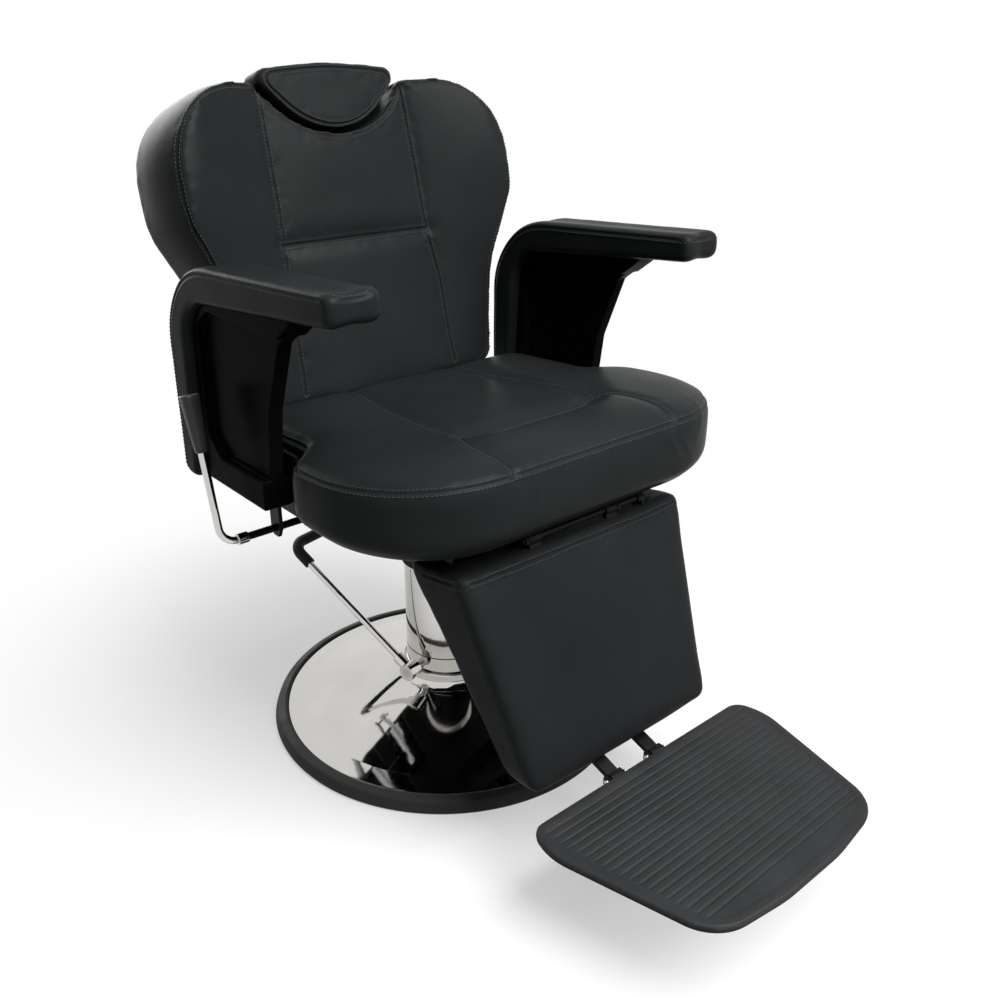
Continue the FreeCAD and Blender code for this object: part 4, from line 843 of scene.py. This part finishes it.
def make_stage():
    world = bpy.data.worlds.new("studio")
    scene.world = world
    world.use_nodes = True
    nodes, links = world.node_tree.nodes, world.node_tree.links
    nodes.clear()
    seen = seen_directly(nodes, links)
    white = nodes.new("ShaderNodeBackground")
    white.inputs["Color"].default_value = (1, 1, 1, 1)
    white.inputs["Strength"].default_value = 1.0
    soft = nodes.new("ShaderNodeBackground")
    soft.inputs["Color"].default_value = (0.95, 0.97, 1.0, 1)
    soft.inputs["Strength"].default_value = 0.10
    mix = nodes.new("ShaderNodeMixShader")
    links.new(seen, mix.inputs["Fac"])
    links.new(soft.outputs["Background"], mix.inputs[1])
    links.new(white.outputs["Background"], mix.inputs[2])
    links.new(mix.outputs["Shader"], nodes.new("ShaderNodeOutputWorld").inputs["Surface"])

    floor_material = bpy.data.materials.new("floor")
    floor_material.use_nodes = True
    nodes, links = floor_material.node_tree.nodes, floor_material.node_tree.links
    shader = nodes["Principled BSDF"]
    shader.inputs["Base Color"].default_value = (0.42, 0.42, 0.42, 1)
    shader.inputs["Roughness"].default_value = 0.9
    shader.inputs["Specular IOR Level"].default_value = 0.1
    white = nodes.new("ShaderNodeEmission")
    white.inputs["Strength"].default_value = 1.0
    place = nodes.new("ShaderNodeTexCoord")
    away = nodes.new("ShaderNodeVectorMath")
    away.operation = "LENGTH"
    links.new(place.outputs["Object"], away.inputs[0])
    fade = nodes.new("ShaderNodeMapRange")
    fade.interpolation_type = "SMOOTHSTEP"
    fade.inputs["From Min"].default_value = 0.35
    fade.inputs["From Max"].default_value = 1.15
    fade.inputs["To Min"].default_value = 0.45
    links.new(away.outputs["Value"], fade.inputs["Value"])
    share = nodes.new("ShaderNodeMath")
    share.operation = "MULTIPLY"
    links.new(fade.outputs["Result"], share.inputs[0])
    links.new(seen_directly(nodes, links), share.inputs[1])
    blend = nodes.new("ShaderNodeMixShader")
    links.new(share.outputs["Value"], blend.inputs["Fac"])
    links.new(shader.outputs["BSDF"], blend.inputs[1])
    links.new(white.outputs["Emission"], blend.inputs[2])
    links.new(blend.outputs["Shader"], nodes["Material Output"].inputs["Surface"])
    mesh = bpy.data.meshes.new("floor")
    half = 14.0
    corners = [(-half, -half, 0), (half, -half, 0), (half, half, 0), (-half, half, 0)]
    mesh.from_pydata(corners, [], [(0, 1, 2, 3)])
    mesh.materials.append(floor_material)
    floor = bpy.data.objects.new("floor", mesh)
    floor.location.z = -0.0005
    scene.collection.objects.link(floor)

    mirrors = bpy.data.collections.new("mirrors")
    for item in scene.objects:
        if item.type == "MESH" and CHROME.name in item.data.materials:
            mirrors.objects.link(item)
    for entry in mirrors.collection_objects:
        entry.light_linking.link_state = "EXCLUDE"
    for name, spot, aim, width, power in (
            ("key", (0.4, -2.1, 3.1), (0, 0, 0.65), 2.5, 430),
            ("top", (-0.2, -0.2, 3.6), (0, 0, 0.6), 3.0, 50),
            ("fill", (-3.0, -1.0, 1.9), (0, 0, 0.6), 2.0, 3),
            ("rim", (-0.8, 2.6, 2.6), (0, 0, 0.7), 2.2, 25),
            ("rear", (0.3, 3.0, 1.2), (0, 0, 0.7), 2.2, 60)):
        lamp = bpy.data.lights.new(name, "AREA")
        lamp.size = width
        lamp.energy = power
        item = bpy.data.objects.new(name, lamp)
        item.location = spot
        item.rotation_euler = (Vector(aim) - Vector(spot)).to_track_quat("-Z", "Y").to_euler()
        scene.collection.objects.link(item)
        item.light_linking.receiver_collection = mirrors


def make_camera():
    yaw, pitch, roll = (math.radians(a) for a in (48.8324, 24.156, 0.335))
    view = Vector((math.cos(pitch) * math.cos(yaw), math.cos(pitch) * math.sin(yaw), -math.sin(pitch)))
    level = Vector((math.sin(yaw), -math.cos(yaw), 0))
    up = level.cross(view)
    right = level * math.cos(roll) + up * math.sin(roll)
    above = up * math.cos(roll) - level * math.sin(roll)
    lens = bpy.data.cameras.new("camera")
    lens.sensor_width = 36
    lens.lens = 36 * 1.006316
    camera = bpy.data.objects.new("camera", lens)
    camera.matrix_world = Matrix((right, above, -view)).transposed().to_4x4()
    camera.location = (-0.954, -1.232, 1.102)
    scene.collection.objects.link(camera)
    scene.camera = camera


make_stage()
make_camera()
scene.view_settings.view_transform = "Standard"
